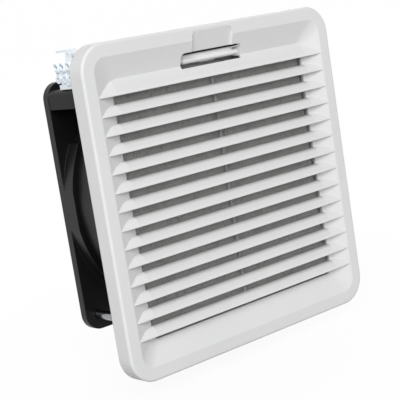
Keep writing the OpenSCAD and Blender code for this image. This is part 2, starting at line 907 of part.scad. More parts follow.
module finger_guard() {
    corner = hole_half * sqrt(2);
    step = (guard_out_r - guard_in_r) / (guard_rings - 1);
    color([0.75, 0.76, 0.78]) difference() {
        union() {
            for (i = [0 : guard_rings - 1]) {
                about_y() translate([guard_in_r + i * step, wire_ring_y]) circle(wire_d / 2, $fn = 32);
            }
            for (a = [45 : 90 : 315]) {
                rotate([0, a, 0]) translate([guard_in_r, arm_y, 0])
                    rotate([0, 90, 0]) cylinder(d = wire_d, h = corner - guard_in_r - lug_r + arm_lap);
            }
            at_fan_holes() ring_y(fan_back_y, fan_back_y + lug_t, lug_r);
        }
        at_fan_holes() ring_y(fan_back_y - eps, fan_back_y + lug_t + eps, guard_hole_r);
    }
}

// One point of a blade: at radius r, at share s of its chord, on its front or back side
function blade_point(r, s, side) =
    let (a = blade_sweep * (s - 0.5))
    let (t = blade_edge_t + (blade_t - blade_edge_t) * sin(180 * s))
    let (y = blade_y + blade_edge_t + (blade_h - 2 * blade_edge_t) * (s + blade_camber * s * (s - 1)))
    [r * cos(a), y + side * t / 2, r * sin(a)];

// Outline of a blade at one radius: along its back, then along its front
function blade_outline(r) = concat(
    [for (i = [0 : blade_steps]) blade_point(r, i / blade_steps, 1)],
    [for (i = [blade_steps : -1 : 0]) blade_point(r, i / blade_steps, -1)]
);

// One twisted blade, lofted from inside the hub's wall to the tip
module impeller_blade() {
    root_r = hub_r - hub_wall / 2;
    n = 2 * (blade_steps + 1);
    points = [
        for (k = [0 : blade_sections])
            for (p = blade_outline(root_r + (tip_r - root_r) * k / blade_sections)) p
    ];
    sides = [
        for (k = [0 : blade_sections - 1], i = [0 : n - 1])
            let (a = k * n + i, b = k * n + (i + 1) % n)
            each [[a, a + n, b], [b, a + n, b + n]]
    ];
    caps = [
        for (i = [0 : blade_steps - 1])
            let (a = i, b = i + 1, c = n - 1 - i, d = n - 2 - i, far = blade_sections * n)
            each [[a, b, c], [b, d, c], [far + a, far + c, far + b], [far + b, far + c, far + d]]
    ];
    polyhedron(points, concat(sides, caps));
}

module impeller() {
    lip_r = hub_r - hub_lip;
    color([0.1, 0.1, 0.11]) union() {
        about_y() difference() {
            union() {
                translate([lip_r, hub_y]) square([hub_r - lip_r - hub_wall, hub_l]);
                translate([lip_r, hub_y + hub_wall]) square([hub_r - lip_r, hub_l - hub_wall]);
                translate([hub_r - hub_wall, hub_y + hub_wall]) circle(hub_wall);
            }
            translate([lip_r - eps, cup_y - slip_fit]) square([hub_r - hub_wall - lip_r + eps, hub_l]);
        }
        for (i = [0 : blade_count - 1]) {
            rotate([0, i * 360 / blade_count, 0]) impeller_blade();
        }
    }
}

module rotor_cup() {
    boss_l = front_bearing_y - cup_y - bearing_set_in;
    color([0.6, 0.61, 0.62]) difference() {
        union() {
            ring_y(cup_y, cup_y + cup_wall, cup_r);
            ring_y(cup_y, cup_y + cup_l, cup_r, cup_r - cup_wall);
            ring_y(cup_y, cup_y + boss_l, shaft_d / 2 + cup_boss_wall);
        }
        ring_y(cup_y - eps, cup_y + boss_l + eps, shaft_d / 2 + slip_fit / 2);
    }
}

module rotor_cage() {
    color([0.5, 0.5, 0.52]) ring_y(core_y - cage_reach, core_y + core_l + cage_reach, cage_r, cage_r - cage_t);
}

module shaft() {
    groove_r = shaft_d / 2 - groove_depth;
    color([0.7, 0.71, 0.73]) difference() {
        ring_y(cup_y, shaft_back_y, shaft_d / 2);
        ring_y(shaft_clip_y - slip_fit, shaft_clip_y + clip_t + slip_fit, shaft_d, groove_r);
    }
}

module shaft_clip() {
    in_r = shaft_d / 2 - groove_depth + slip_fit;
    color([0.4, 0.4, 0.42]) ring_y(shaft_clip_y, shaft_clip_y + clip_t, shaft_d / 2 + clip_edge, in_r);
}

module wave_washer() {
    out_r = shaft_d / 2 + washer_edge;
    color([0.65, 0.66, 0.68]) ring_y(washer_y, washer_y + washer_t, out_r, shaft_d / 2 + slip_fit);
}

// A ball bearing with the groove between its two races
module bearing(y) {
    in_r = shaft_d / 2 + run_fit;
    out_r = bearing_d / 2;
    race = (out_r - in_r) / 3;
    difference() {
        ring_y(y, y + bearing_w, out_r, in_r);
        ring_y(y - eps, y + race_groove, out_r - race, in_r + race);
        ring_y(y + bearing_w - race_groove, y + bearing_w + eps, out_r - race, in_r + race);
    }
}

module front_bearing() {
    color([0.72, 0.73, 0.75]) bearing(front_bearing_y);
}

module rear_bearing() {
    color([0.72, 0.73, 0.75]) bearing(rear_bearing_y);
}

module bearing_tube() {
    color([0.78, 0.65, 0.35]) ring_y(tube_y, base_back_y - seat_gap, tube_out_r, tube_in_r);
}

// One pole with its curved shoe, in X and Z, pointing along X
module stator_pole() {
    reach = stator_r + 2;
    translate([core_bore_r + 1, -pole_w / 2]) square([stator_r - core_bore_r - 1 - shoe_t / 2, pole_w]);
    intersection() {
        difference() {
            circle(stator_r);
            circle(stator_r - shoe_t);
        }
        polygon([[0, 0], [reach, -reach * tan(shoe_angle)], [reach, reach * tan(shoe_angle)]]);
    }
}

module stator_core() {
    color([0.45, 0.45, 0.47]) along_y(core_y, core_y + core_l) difference() {
        union() {
            circle(yoke_r);
            for (i = [0 : pole_count - 1]) {
                rotate(i * 360 / pole_count) stator_pole();
            }
        }
        circle(core_bore_r);
    }
}

module windings() {
    hole_half_w = pole_w / 2 + coil_gap;
    half_w = hole_half_w + coil_t;
    in_x = yoke_r + coil_gap;
    out_x = sqrt(pow(stator_r - shoe_t, 2) - pow(half_w, 2)) - coil_gap;
    color([0.72, 0.4, 0.16]) for (i = [0 : pole_count - 1]) {
        rotate([0, i * 360 / pole_count, 0]) difference() {
            box([in_x, core_y - coil_overhang, -half_w], [out_x, core_y + core_l + coil_overhang, half_w]);
            box([in_x - eps, core_y - coil_gap, -hole_half_w],
                [out_x + eps, core_y + core_l + coil_gap, hole_half_w]);
        }
    }
}

module bearing_cap() {
    color([0.09, 0.09, 0.1]) ring_y(base_back_y, base_back_y + cap_t, boss_r - cap_inset);
}

module terminal_carrier() {
    low_z = carrier_top_z - carrier_h;
    color([0.13, 0.13, 0.14]) difference() {
        union() {
            box([carrier_x + soft_r, carrier_back_y - carrier_l, low_z],
                [carrier_x + carrier_w, carrier_back_y, carrier_top_z]);
            box([carrier_x, carrier_back_y - carrier_l, low_z],
                [carrier_x + carrier_w, carrier_back_y, carrier_top_z - soft_r]);
            translate([carrier_x + soft_r, 0, carrier_top_z - soft_r])
                ring_y(carrier_back_y - carrier_l, carrier_back_y, soft_r);
        }
        translate([-hole_half, 0, hole_half])
            ring_y(carrier_back_y - carrier_l - eps, carrier_back_y + eps, fan_hole_d / 2);
    }
}

// Turn the terminal's row of poles from X into the fan's depth, so that it faces outwards
module terminal_place() {
    translate([face_x, row_y, 0]) rotate([0, 0, -90]) children();
}

// Place a child at each pole of the row
module at_poles() {
    for (i = [0 : terminal_poles - 1]) {
        translate([i * pole_pitch, 0, 0]) children();
    }
}

// One pole of the terminal block: a rounded nose above a screw ring
module terminal_pole() {
    box([-pole_r, pole_r, nose_z - eps], [pole_r, terminal_d, pole_top_z]);
    translate([0, pole_r, nose_z]) cylinder(r = pole_r, h = nose_l);
    translate([0, pole_r, nose_z]) sphere(pole_r);
    translate([0, 0, screw_ring_z]) ring_y(waist_depth - screw_ring_l, waist_depth + eps, screw_ring_r);
}

// Wire funnel and screw hole of one pole
module terminal_pole_cut() {
    translate([0, -skin, wire_z]) rotate([-90, 0, 0]) cylinder(r1 = funnel_r, r2 = wire_r, h = funnel_l);
    translate([0, 0, wire_z]) ring_y(0, wire_l, wire_r);
    translate([0, 0, screw_ring_z])
        ring_y(waist_depth - screw_ring_l - eps, clamp_head_y + clamp_screw_l, clamp_screw_r + slip_fit);
}

// The block below the noses, tapered at its far end, and its foot
module terminal_base() {
    along_y(waist_depth, terminal_d) polygon([
        [-pole_r, nose_z],
        [-pole_r, pole_z + taper_rise],
        [foot_start, pole_z - eps],
        [row_end, pole_z - eps],
        [row_end, nose_z]
    ]);
    box([foot_start, foot_front, foot_z], [row_end + foot_edge, terminal_d, pole_z]);
}

module terminal_body() {
    post_x = pivot_x - post_w / 2;
    slot_x = pivot_x - foot_slot_w / 2;
    slot_z = foot_z + foot_slot_rise;
    color([0.88, 0.91, 0.94]) terminal_place() difference() {
        union() {
            terminal_base();
            at_poles() terminal_pole();
            box([post_x, post_inset, pole_top_z - eps],
                [post_x + post_w, terminal_d, lever_axis_z - lever_knuckle_r - foot_edge]);
            for (y = [post_inset, terminal_d - lever_ear]) {
                box([pivot_x - lever_knuckle_r, y, lever_axis_z - 2 * lever_knuckle_r],
                    [pivot_x + lever_knuckle_r, y + lever_ear, lever_axis_z]);
                translate([pivot_x, 0, lever_axis_z]) ring_y(y, y + lever_ear, lever_knuckle_r);
            }
        }
        at_poles() terminal_pole_cut();
        for (i = [1 : terminal_poles - 1]) {
            mid = (i - 0.5) * pole_pitch;
            box([mid - pole_groove_w / 2, waist_depth - eps, pole_z],
                [mid + pole_groove_w / 2, waist_depth + pole_groove_l, nose_z]);
        }
        box([slot_x, foot_front - eps, slot_z],
            [slot_x + foot_slot_w, foot_front + foot_slot_d, slot_z + foot_slot_h]);
        translate([pivot_x, 0, lever_axis_z]) ring_y(0, terminal_d + eps, lever_pin_r + run_fit / 2);
    }
}

module terminal_screws() {
    color([0.6, 0.61, 0.63]) terminal_place() at_poles() translate([0, 0, screw_ring_z]) difference() {
        ring_y(clamp_head_y, clamp_head_y + clamp_screw_l - seat_gap, clamp_screw_r);
        box([-clamp_screw_r, clamp_head_y - eps, -slot_w / 2],
            [clamp_screw_r, clamp_head_y + slot_depth, slot_w / 2]);
    }
}

module terminal_clamps() {
    color([0.75, 0.62, 0.34]) terminal_place() at_poles() translate([0, 0, wire_z])
        ring_y(wire_l - clamp_l, wire_l - slip_fit, wire_r - slip_fit);
}

module terminal_lever() {
    front = post_inset + lever_ear + seat_gap;
    back = terminal_d - lever_ear - seat_gap;
    top_z = lever_axis_z + lever_rise + lever_t;
    color([0.86, 0.9, 0.94]) terminal_place() difference() {
        union() {
            translate([pivot_x, 0, lever_axis_z]) ring_y(front, back, lever_knuckle_r);
            box([pivot_x - lever_neck, front, lever_axis_z - lever_rise], [pivot_x, back, top_z]);
            box([pivot_x - lever_l, front, top_z - lever_t], [pivot_x, back, top_z]);
        }
        translate([pivot_x, 0, lever_axis_z]) ring_y(front - eps, back + eps, lever_pin_r + run_fit);
    }
}

module lever_pin() {
    color([0.7, 0.71, 0.73]) terminal_place() translate([pivot_x, 0, lever_axis_z])
        ring_y(post_inset + lever_pin_inset, terminal_d - lever_pin_inset, lever_pin_r);
}

front_cover();
latch_bar();
latch_spring();
hinge_pins();
mounting_frame();
panel_gasket();
panel_clips();
filter_mat();
guard_grid();
fan_housing();
fan_rear_frame();
fan_screws();
finger_guard();
impeller();
rotor_cup();
rotor_cage();
shaft();
shaft_clip();
wave_washer();
front_bearing();
rear_bearing();
bearing_tube();
stator_core();
windings();
bearing_cap();
terminal_carrier();
terminal_body();
terminal_screws();
terminal_clamps();
terminal_lever();
lever_pin();
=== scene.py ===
import logging
import math
from collections.abc import Iterable, Sequence
from dataclasses import dataclass
from enum import Enum
from functools import cache
from typing import Any

import bmesh
import bpy
from mathutils import Matrix, Vector, noise


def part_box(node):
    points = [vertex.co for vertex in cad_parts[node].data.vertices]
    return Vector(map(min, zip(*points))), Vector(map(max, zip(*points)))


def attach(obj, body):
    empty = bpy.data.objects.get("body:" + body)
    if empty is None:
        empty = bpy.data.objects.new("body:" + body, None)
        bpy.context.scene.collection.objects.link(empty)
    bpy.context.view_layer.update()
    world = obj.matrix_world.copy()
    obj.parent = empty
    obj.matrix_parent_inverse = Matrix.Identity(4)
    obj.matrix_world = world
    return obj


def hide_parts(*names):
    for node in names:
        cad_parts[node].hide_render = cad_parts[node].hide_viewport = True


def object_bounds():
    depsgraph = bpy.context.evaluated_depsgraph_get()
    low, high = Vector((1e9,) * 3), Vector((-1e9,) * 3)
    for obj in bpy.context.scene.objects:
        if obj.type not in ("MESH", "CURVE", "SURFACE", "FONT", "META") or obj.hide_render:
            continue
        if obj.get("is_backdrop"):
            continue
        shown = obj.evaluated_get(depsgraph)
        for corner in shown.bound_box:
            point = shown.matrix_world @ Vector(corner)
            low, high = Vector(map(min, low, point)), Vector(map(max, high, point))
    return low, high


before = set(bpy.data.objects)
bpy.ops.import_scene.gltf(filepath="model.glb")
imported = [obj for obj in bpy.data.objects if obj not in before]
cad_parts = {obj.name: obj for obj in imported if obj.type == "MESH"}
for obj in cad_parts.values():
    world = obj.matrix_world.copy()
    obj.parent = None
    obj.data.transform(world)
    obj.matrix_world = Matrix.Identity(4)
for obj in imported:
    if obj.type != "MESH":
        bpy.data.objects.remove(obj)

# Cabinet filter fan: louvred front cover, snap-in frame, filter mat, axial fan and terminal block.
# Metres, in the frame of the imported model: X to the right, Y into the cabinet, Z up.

LOG = logging.getLogger("filter_fan")
MM = 0.001
QUARTER = math.pi / 2
Triple = tuple[float, float, float]
Colour = Triple
Pair = tuple[float, float]
Walk = list[tuple[Vector, Vector]]
Skin = tuple[list[Vector], list[list[int]]]
Socket = bpy.types.NodeSocket


def grey(level: float) -> Colour:
    """Give a neutral colour."""
    return level, level, level


class Body(Enum):
    """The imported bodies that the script's own pieces ride on."""

    CHASSIS = "chassis"
    LATCH = "latch"


class Effect(Enum):
    """Surface effects that several finishes share, each one shader node group."""

    GRAIN = "moulded_grain"
    EDGES = "soft_edges"
    DUST = "settled_dust"
    # Painted shade on the louvre blades' roofs, on the rib and deep in the slots.
    SLOT_SHADING = "painted_slot_shade"
    DRAWN = "drawn_lines"
    FIBRES = "tangled_fibres"
    PORES = "foam_pores"


class Graph:
    """A node tree under construction, with short ways to add nodes and feed sockets."""

    def __init__(self, tree: bpy.types.NodeTree) -> None:
        """Start on a tree."""
        self.tree = tree

    @classmethod
    def cleared(cls, owner: Any) -> "Graph":
        """Start on the emptied tree of a material or a world.

        Args:
            owner: the material or the world.

        Returns:
            The graph of its tree.
        """
        owner.use_nodes = True
        owner.node_tree.nodes.clear()
        return cls(owner.node_tree)

    def add(self, kind: str, **settings: Any) -> bpy.types.Node:
        """Add a node and set its properties.

        Args:
            kind: the node's type name.
            settings: properties of the node.

        Returns:
            The new node.
        """
        node = self.tree.nodes.new(kind)
        for name, value in settings.items():
            setattr(node, name, value)
        return node

    def feed(self, socket: Socket, value: Any) -> None:
        """Link a socket to another one, or set its value.

        Args:
            socket: the input to feed.
            value: an output socket, a number, or a tuple of three numbers.
        """
        if isinstance(value, Socket):
            self.tree.links.new(value, socket)
        elif isinstance(value, tuple) and socket.type == "RGBA":
            socket.default_value = (*value, 1.0)
        else:
            socket.default_value = value

    def fill(self, node: bpy.types.Node, values: dict[Any, Any]) -> bpy.types.Node:
        """Feed several inputs of a node.

        Args:
            node: the node.
            values: what each input gets, by the input's name or number.

        Returns:
            The same node.
        """
        for key, value in values.items():
            self.feed(node.inputs[key], value)
        return node

    def math(self, operation: str, *values: Any) -> Socket:
        """Add a Math node, fed with sockets or numbers, and give its result."""
        node = self.add("ShaderNodeMath", operation=operation)
        return self.fill(node, dict(enumerate(values))).outputs[0]

    def fold(self, operation: str, first: Any, *others: Any) -> Socket:
        """Join any number of values by one operation.

        Args:
            operation: the Math node's operation.
            first: the first value.
            others: the values that are joined to it in turn.

        Returns:
            The result's socket.
        """
        for value in others:
            first = self.math(operation, first, value)
        return first

    def vector(self, operation: str, *values: Any) -> Any:
        """Add a Vector Math node, fed with sockets or tuples, and give its outputs."""
        node = self.add("ShaderNodeVectorMath", operation=operation)
        return self.fill(node, dict(enumerate(values))).outputs

    def axes(self, vector: Socket) -> Any:
        """Split a vector into its X, Y and Z outputs."""
        return self.fill(self.add("ShaderNodeSeparateXYZ"), {0: vector}).outputs

    def mix(self, share: Any, low: Any, high: Any) -> Socket:
        """Mix two colours by the share of the second, and give the mixed colour."""
        # Colours use the Mix node's inputs 6 and 7 and its output 2.
        return self.fill(self.add("ShaderNodeMix", data_type="RGBA"), {0: share, 6: low, 7: high}).outputs[2]

    def blend(self, share: Any, low: bpy.types.Node, high: bpy.types.Node) -> bpy.types.Node:
        """Mix two shaders' nodes by the share of the second, and give the mixing node."""
        return self.fill(self.add("ShaderNodeMixShader"), {0: share, 1: low.outputs[0], 2: high.outputs[0]})

    def spread(self, value: Socket, low: float, high: float, to_low: float = 0.0, to_high: float = 1.0) -> Socket:
        """Map a value from one range to another, clamped, and give the result."""
        inputs = dict(enumerate((value, low, high, to_low, to_high)))
        return self.fill(self.add("ShaderNodeMapRange"), inputs).outputs[0]

    def noise(self, where: Socket, scale: Any, detail: float = 3.0, roughness: float = 0.55) -> Socket:
        """Add a noise texture with its features per metre, and give its value."""
        inputs = {"Vector": where, "Scale": scale, "Detail": detail, "Roughness": roughness}
        return self.fill(self.add("ShaderNodeTexNoise"), inputs).outputs[0]

    def effect(self, effect: Effect, **values: float) -> Any:
        """Place a shared effect, its inputs by name with _ for spaces, and give its outputs."""
        inputs = {name.replace("_", " ").title(): value for name, value in values.items()}
        return self.fill(self.add("ShaderNodeGroup", node_tree=effect_tree(effect)), inputs).outputs

    def bump(self, height: Socket, depth: float, normal: Socket | None = None) -> Socket:
        """Turn a height into a normal.

        Args:
            height: the height's socket, from 0 to 1.
            depth: depth of the relief, in millimetres.
            normal: socket of the normal that it starts from, if not the surface's own.

        Returns:
            The normal's socket.
        """
        node = self.fill(self.add("ShaderNodeBump"), {"Strength": 1.0, "Distance": depth * MM, "Height": height})
        if normal is not None:
            self.feed(node.inputs["Normal"], normal)
        return node.outputs[0]


class EffectGroup(Graph):
    """The node group of one effect."""

    def __init__(self, effect: Effect) -> None:
        """Build the group.

        Args:
            effect: which effect.
        """
        super().__init__(bpy.data.node_groups.new(effect.value, "ShaderNodeTree"))
        maker, inputs, outputs = {
            Effect.GRAIN: (self._grain, ("Size",), ("Height", "Tone")),
            Effect.EDGES: (self._edges, ("Radius",), ("Normal", "Edge")),
            Effect.DUST: (self._dust, ("Amount",), ("Mask",)),
            Effect.SLOT_SHADING: (self._paint_slot_shade, ("Amount",), ("Mask",)),
            Effect.DRAWN: (self._drawn, ("Along X", "Along Y", "Along Z"), ("Height", "Tone")),
            Effect.FIBRES: (self._fibres, ("Size",), ("Height",)),
            Effect.PORES: (self._pores, ("Size",), ("Height",)),
        }[effect]
        for way, names in (("INPUT", inputs), ("OUTPUT", outputs)):
            for name in names:
                kind = "NodeSocketVector" if name == "Normal" else "NodeSocketFloat"
                self.tree.interface.new_socket(name=name, in_out=way, socket_type=kind)
        self.given = self.add("NodeGroupInput").outputs
        coords = self.add("ShaderNodeTexCoord").outputs
        self.where, self.facing = coords["Object"], coords["Normal"]
        results = maker()
        self.fill(self.add("NodeGroupOutput"), dict(zip(outputs, results)))

    def _grain(self) -> tuple[Socket, Socket]:
        """Make fine moulded grain with slow patches of tone.

        Returns:
            The height and the tone.
        """
        fine = self.noise(self.where, self.math("DIVIDE", 1.0, self.given["Size"]), detail=4.0, roughness=0.6)
        flow = self.noise(self.where, scale=22.0)
        return fine, self.spread(flow, low=0.34, high=0.66)

    def _edges(self) -> tuple[Socket, Socket]:
        """Make rounded normals at sharp edges, and a mask of those edges.

        Returns:
            The normal and the mask.
        """
        bevel = self.fill(self.add("ShaderNodeBevel", samples=6), {"Radius": self.given["Radius"]})
        face = self.add("ShaderNodeNewGeometry").outputs["Normal"]
        alike = self.vector("DOT_PRODUCT", bevel.outputs[0], face)["Value"]
        turned = self.math("SUBTRACT", 1.0, alike)
        return bevel.outputs[0], self.spread(turned, low=0.02, high=0.25)

    def _dust(self) -> tuple[Socket]:
        """Make patchy dust on faces that look up when the part is at rest.

        Returns:
            The mask.
        """
        upward = self.spread(self.axes(self.facing)["Z"], low=0.35, high=0.95)
        patches = self.spread(self.noise(self.where, scale=160.0, detail=5.0, roughness=0.65), low=0.38, high=0.72)
        return (self.fold("MULTIPLY", upward, patches, self.given["Amount"]),)

    def _paint_slot_shade(self) -> tuple[Socket]:
        """Paint shade on the blades' up-facing roofs, on the rib behind them and deep in their slots, broken up by
        lumpy noise.

        Returns:
            The mask.
        """
        # Each range runs from its start to its end: half widths and depths in the part's frame, and slopes.
        louvres, front, back = (57.9 * MM, 58.3 * MM), (-8.7 * MM, -8.2 * MM), (-3.5 * MM, -3.35 * MM)
        slot, rib_front, rib_half = (-5.0 * MM, -4.3 * MM), (-4.6 * MM, -4.55 * MM), (0.62 * MM, 0.72 * MM)
        level, roof_share, rib_share, lumps_low = (0.44, 0.97), 0.85, 1.6, 0.75
        # Painted shade: darker on up-facing roofs, on the rib and deep in the slots, in lumps.
        place = self.axes(self.where)
        across, height = (self.math("ABSOLUTE", place[axis]) for axis in "XZ")
        deep = self.spread(place["Y"], *slot)
        roof = self.spread(self.axes(self.facing)["Z"], *level, to_high=roof_share)
        on_rib = self.spread(across, *rib_half, to_low=rib_share, to_high=0.0)
        rib = self.math("MULTIPLY", on_rib, self.spread(place["Y"], *rib_front))
        inside = [self.spread(far, *louvres, to_low=1.0, to_high=0.0) for far in (across, height)]
        inside += [self.spread(place["Y"], *front), self.spread(place["Y"], *back, to_low=1.0, to_high=0.0)]
        lumps = self.spread(self.noise(self.where, scale=300.0), low=0.3, high=0.7, to_low=lumps_low)
        shaded = self.fold("MAXIMUM", deep, roof, rib)
        return (self.fold("MULTIPLY", shaded, self.given["Amount"], *inside, lumps),)

    def _drawn(self) -> tuple[Socket, Socket]:
        """Make fine lines left by drawing or turning, close together along the chosen axes.

        Returns:
            The height and the tone.
        """
        close = self.fill(self.add("ShaderNodeCombineXYZ"), {axis: self.given[f"Along {axis}"] for axis in "XYZ"})
        stretched = self.vector("MULTIPLY", self.where, close.outputs[0])["Vector"]
        lines = self.noise(stretched, scale=1.0, detail=2.0)
        flow = self.noise(self.where, scale=90.0)
        return lines, self.spread(flow, low=0.33, high=0.67)

    def _fibres(self) -> tuple[Socket]:
        """Make crossing fibres: three layers of stretched ridges at different angles, with clumps.

        Returns:
            The height.
        """
        stretch, half_width, clump_share = (1.0, 0.6, 0.09), 0.11, 0.6
        fine = self.math("DIVIDE", 1.0, self.given["Size"])
        layers = []
        for turn, shift in ((0.35, 0.0), (1.4, 3.1), (2.45, 7.7)):
            turned = self.fill(self.add("ShaderNodeMapping"), {
                "Vector": self.where, "Location": (shift, shift, shift), "Rotation": (0.0, turn, 0.0), "Scale": stretch,
            })
            wave = self.noise(turned.outputs[0], fine, roughness=0.6)
            ridge = self.math("ABSOLUTE", self.math("SUBTRACT", wave, 0.5))
            layers.append(self.spread(ridge, 0.0, half_width, to_low=1.0, to_high=0.0))
        clumps = self.noise(self.where, scale=210.0)
        return (self.math("MULTIPLY_ADD", clumps, clump_share, self.fold("MAXIMUM", *layers)),)

    def _pores(self) -> tuple[Socket]:
        """Make the small closed cells of a foam.

        Returns:
            The height.
        """
        fine = self.math("DIVIDE", 1.0, self.given["Size"])
        cells = self.add("ShaderNodeTexVoronoi", feature="SMOOTH_F1")
        self.fill(cells, {"Vector": self.where, "Scale": fine})
        return (self.spread(cells.outputs["Distance"], low=0.05, high=0.55),)


@cache
def effect_tree(effect: Effect) -> bpy.types.NodeTree:
    """Build an effect's node group on its first use."""
    return EffectGroup(effect).tree


@dataclass(frozen=True)
class Finish:
    """What a surface is made of."""

    name: str
    colour: Colour  # its plain colour
    shade: Colour  # its colour in darker patches, and the painted shade of a soft sheet's gaps or cells

    def material(self) -> bpy.types.Material:
        """Build the material around one Principled shader.

        Returns:
            The new material.
        """
        material = bpy.data.materials.new(self.name)
        graph = Graph.cleared(material)
        shader = graph.add("ShaderNodeBsdfPrincipled")
        graph.fill(shader, self.inputs(graph))
        graph.fill(graph.add("ShaderNodeOutputMaterial"), {"Surface": shader.outputs[0]})
        return material

    def inputs(self, graph: Graph) -> dict[str, Any]:
        """Give the shader's inputs, as each kind of finish does in its own way."""
        raise NotImplementedError


@dataclass(frozen=True)
class MouldedPlastic(Finish):
    """An opaque injection-moulded plastic."""

    edge_colour: Colour  # its colour along sharp edges
    roughness: float
    grain: float  # size of the moulded grain, in millimetres
    grain_depth: float  # depth of the grain, in millimetres
    edge: float  # radius of the softened edges, in millimetres
    edge_share: float = 0.5  # how much of the edges' colour shows
    uneven: float = 0.07  # how far the roughness falls and rises with the grain
    dust: float = 0.0  # how much dust lies on it, from 0 to 1
    dust_colour: Colour = grey(0.5)  # colour of that dust
    specular: float = 0.5
    slot_shade: float = 0.0  # how much painted shade darkens the blades' roofs, the rib and the depths of the air slots, from 0 to 1
    slot_shade_colour: Colour = (0.1, 0.1, 0.098)  # colour of that painted shade

    def inputs(self, graph: Graph) -> dict[str, Any]:
        """Give the shader's inputs.

        Args:
            graph: the material's graph.

        Returns:
            A value or socket for each input's name.
        """
        grain = graph.effect(Effect.GRAIN, size=self.grain * MM)
        edges = graph.effect(Effect.EDGES, radius=self.edge * MM)
        tint = graph.mix(grain["Tone"], self.colour, self.shade)
        tint = graph.mix(graph.math("MULTIPLY", edges["Edge"], self.edge_share), tint, self.edge_colour)
        if self.dust:
            tint = graph.mix(graph.effect(Effect.DUST, amount=self.dust)["Mask"], tint, self.dust_colour)
        # Painted shade darkens the blades' roofs, the rib and the depths of the air slots.
        if self.slot_shade:
            tint = graph.mix(graph.effect(Effect.SLOT_SHADING, amount=self.slot_shade)["Mask"], tint, self.slot_shade_colour)
        smooth, dull = self.roughness - self.uneven, self.roughness + self.uneven
        return {
            "Base Color": tint,
            "Roughness": graph.spread(grain["Height"], low=0.2, high=0.8, to_low=smooth, to_high=dull),
            "Normal": graph.bump(grain["Height"], self.grain_depth, edges["Normal"]),
            "Specular IOR Level": self.specular,
        }


@dataclass(frozen=True)
class ClearPlastic(MouldedPlastic):
    """A pale translucent moulding."""

    through: float = 0.0  # share of light that passes, from 0 to 1

    def inputs(self, graph: Graph) -> dict[str, Any]:
        """Give the inputs of a moulding, and let light through."""
        return {**super().inputs(graph), "Transmission Weight": self.through, "IOR": 1.5}


@dataclass(frozen=True)
class Metal(Finish):
    """A bare or plated metal with the lines of its making."""

    roughness: float
    lines: Triple = (2500.0, 2500.0, 2500.0)  # line density along X, Y and Z, per metre
    depth: float = 0.006  # depth of the lines, in millimetres
    edge: float = 0.12  # radius of the softened edges, in millimetres
    coat: float = 0.0  # clear coat weight, as for enamel

    def inputs(self, graph: Graph) -> dict[str, Any]:
        """Give the shader's inputs.

        Args:
            graph: the material's graph.

        Returns:
            A value or socket for each input's name.
        """
        edge_gain, smoother, duller = 1.25, 0.08, 0.1
        along_x, along_y, along_z = self.lines
        drawn = graph.effect(Effect.DRAWN, along_x=along_x, along_y=along_y, along_z=along_z)
        edges = graph.effect(Effect.EDGES, radius=self.edge * MM)
        body = graph.mix(drawn["Tone"], self.colour, self.shade)
        bright = tuple(min(1.0, c * edge_gain) for c in self.colour)
        return {
            "Base Color": graph.mix(edges["Edge"], body, bright),
            "Roughness": graph.spread(drawn["Height"], 0.25, 0.75, self.roughness - smoother, self.roughness + duller),
            "Normal": graph.bump(drawn["Height"], self.depth, edges["Normal"]),
            "Metallic": 1.0,
            "Coat Weight": self.coat,
        }


@dataclass(frozen=True)
class SoftSheet(Finish):
    """A fibre mat or a foam strip, whose colour follows its relief, with painted shade in its low spots."""

    pattern: Effect  # the effect that makes the relief
    relief: Pair  # heights over which the painted shade of the gaps and pores gives way to the plain colour
    depth: float  # depth of the relief, in millimetres
    patches: float  # how much of the shade shows in slow patches
    roughness: float
    sheen: float  # weight of its sheen
    specular: float
    size: float = 0.5  # size of the pattern, in millimetres

    def inputs(self, graph: Graph) -> dict[str, Any]:
        """Give the shader's inputs.

        Args:
            graph: the material's graph.

        Returns:
            A value or socket for each input's name.
        """
        height = graph.effect(self.pattern, size=self.size * MM)["Height"]
        tone = graph.effect(Effect.GRAIN, size=self.size * MM)["Tone"]
        # Painted shade: the low spots of the relief, the fibres' gaps and the foam's pores, take the darker colour.
        body = graph.mix(graph.spread(height, *self.relief), self.shade, self.colour)
        return {
            "Base Color": graph.mix(graph.math("MULTIPLY", tone, self.patches), body, self.shade),
            "Roughness": self.roughness,
            "Normal": graph.bump(height, self.depth),
            "Sheen Weight": self.sheen,
            "Specular IOR Level": self.specular,
        }


# The cover carries painted shade deep in its louvre slots and on the blades' roofs.
COVER_GREY = MouldedPlastic(
    "cover_grey", (0.706, 0.706, 0.701), (0.687, 0.689, 0.687), edge_colour=grey(0.64), roughness=0.6,
    grain=0.28, grain_depth=0.008, edge=0.45, dust=0.03, dust_colour=(0.66, 0.65, 0.63), specular=0.3, slot_shade=0.5)
LATCH_GREY = MouldedPlastic(
    "latch_grey", (0.78, 0.78, 0.775), (0.76, 0.762, 0.76), edge_colour=grey(0.8), roughness=0.45,
    grain=0.28, grain_depth=0.006, edge=0.3, dust=0.02, dust_colour=(0.66, 0.65, 0.63), specular=0.45)
FRAME_GREY = MouldedPlastic(
    "frame_grey", (0.68, 0.685, 0.685), (0.645, 0.65, 0.65), edge_colour=grey(0.74), roughness=0.5,
    grain=0.35, grain_depth=0.012, edge=0.25, dust=0.1, dust_colour=(0.6, 0.59, 0.57))
HOUSING_BLACK = MouldedPlastic(
    "housing_black", (0.004, 0.004, 0.0043), (0.0055, 0.0055, 0.006), edge_colour=(0.016, 0.016, 0.017), roughness=0.4,
    grain=0.5, grain_depth=0.03, edge=0.4, dust=0.06, dust_colour=grey(0.05), specular=0.3)
IMPELLER_BLACK = MouldedPlastic(
    "impeller_black", (0.005, 0.005, 0.0055), (0.008, 0.008, 0.0085), edge_colour=(0.02, 0.02, 0.021), roughness=0.4,
    grain=0.6, grain_depth=0.012, edge=0.35, dust=0.06, dust_colour=grey(0.09))
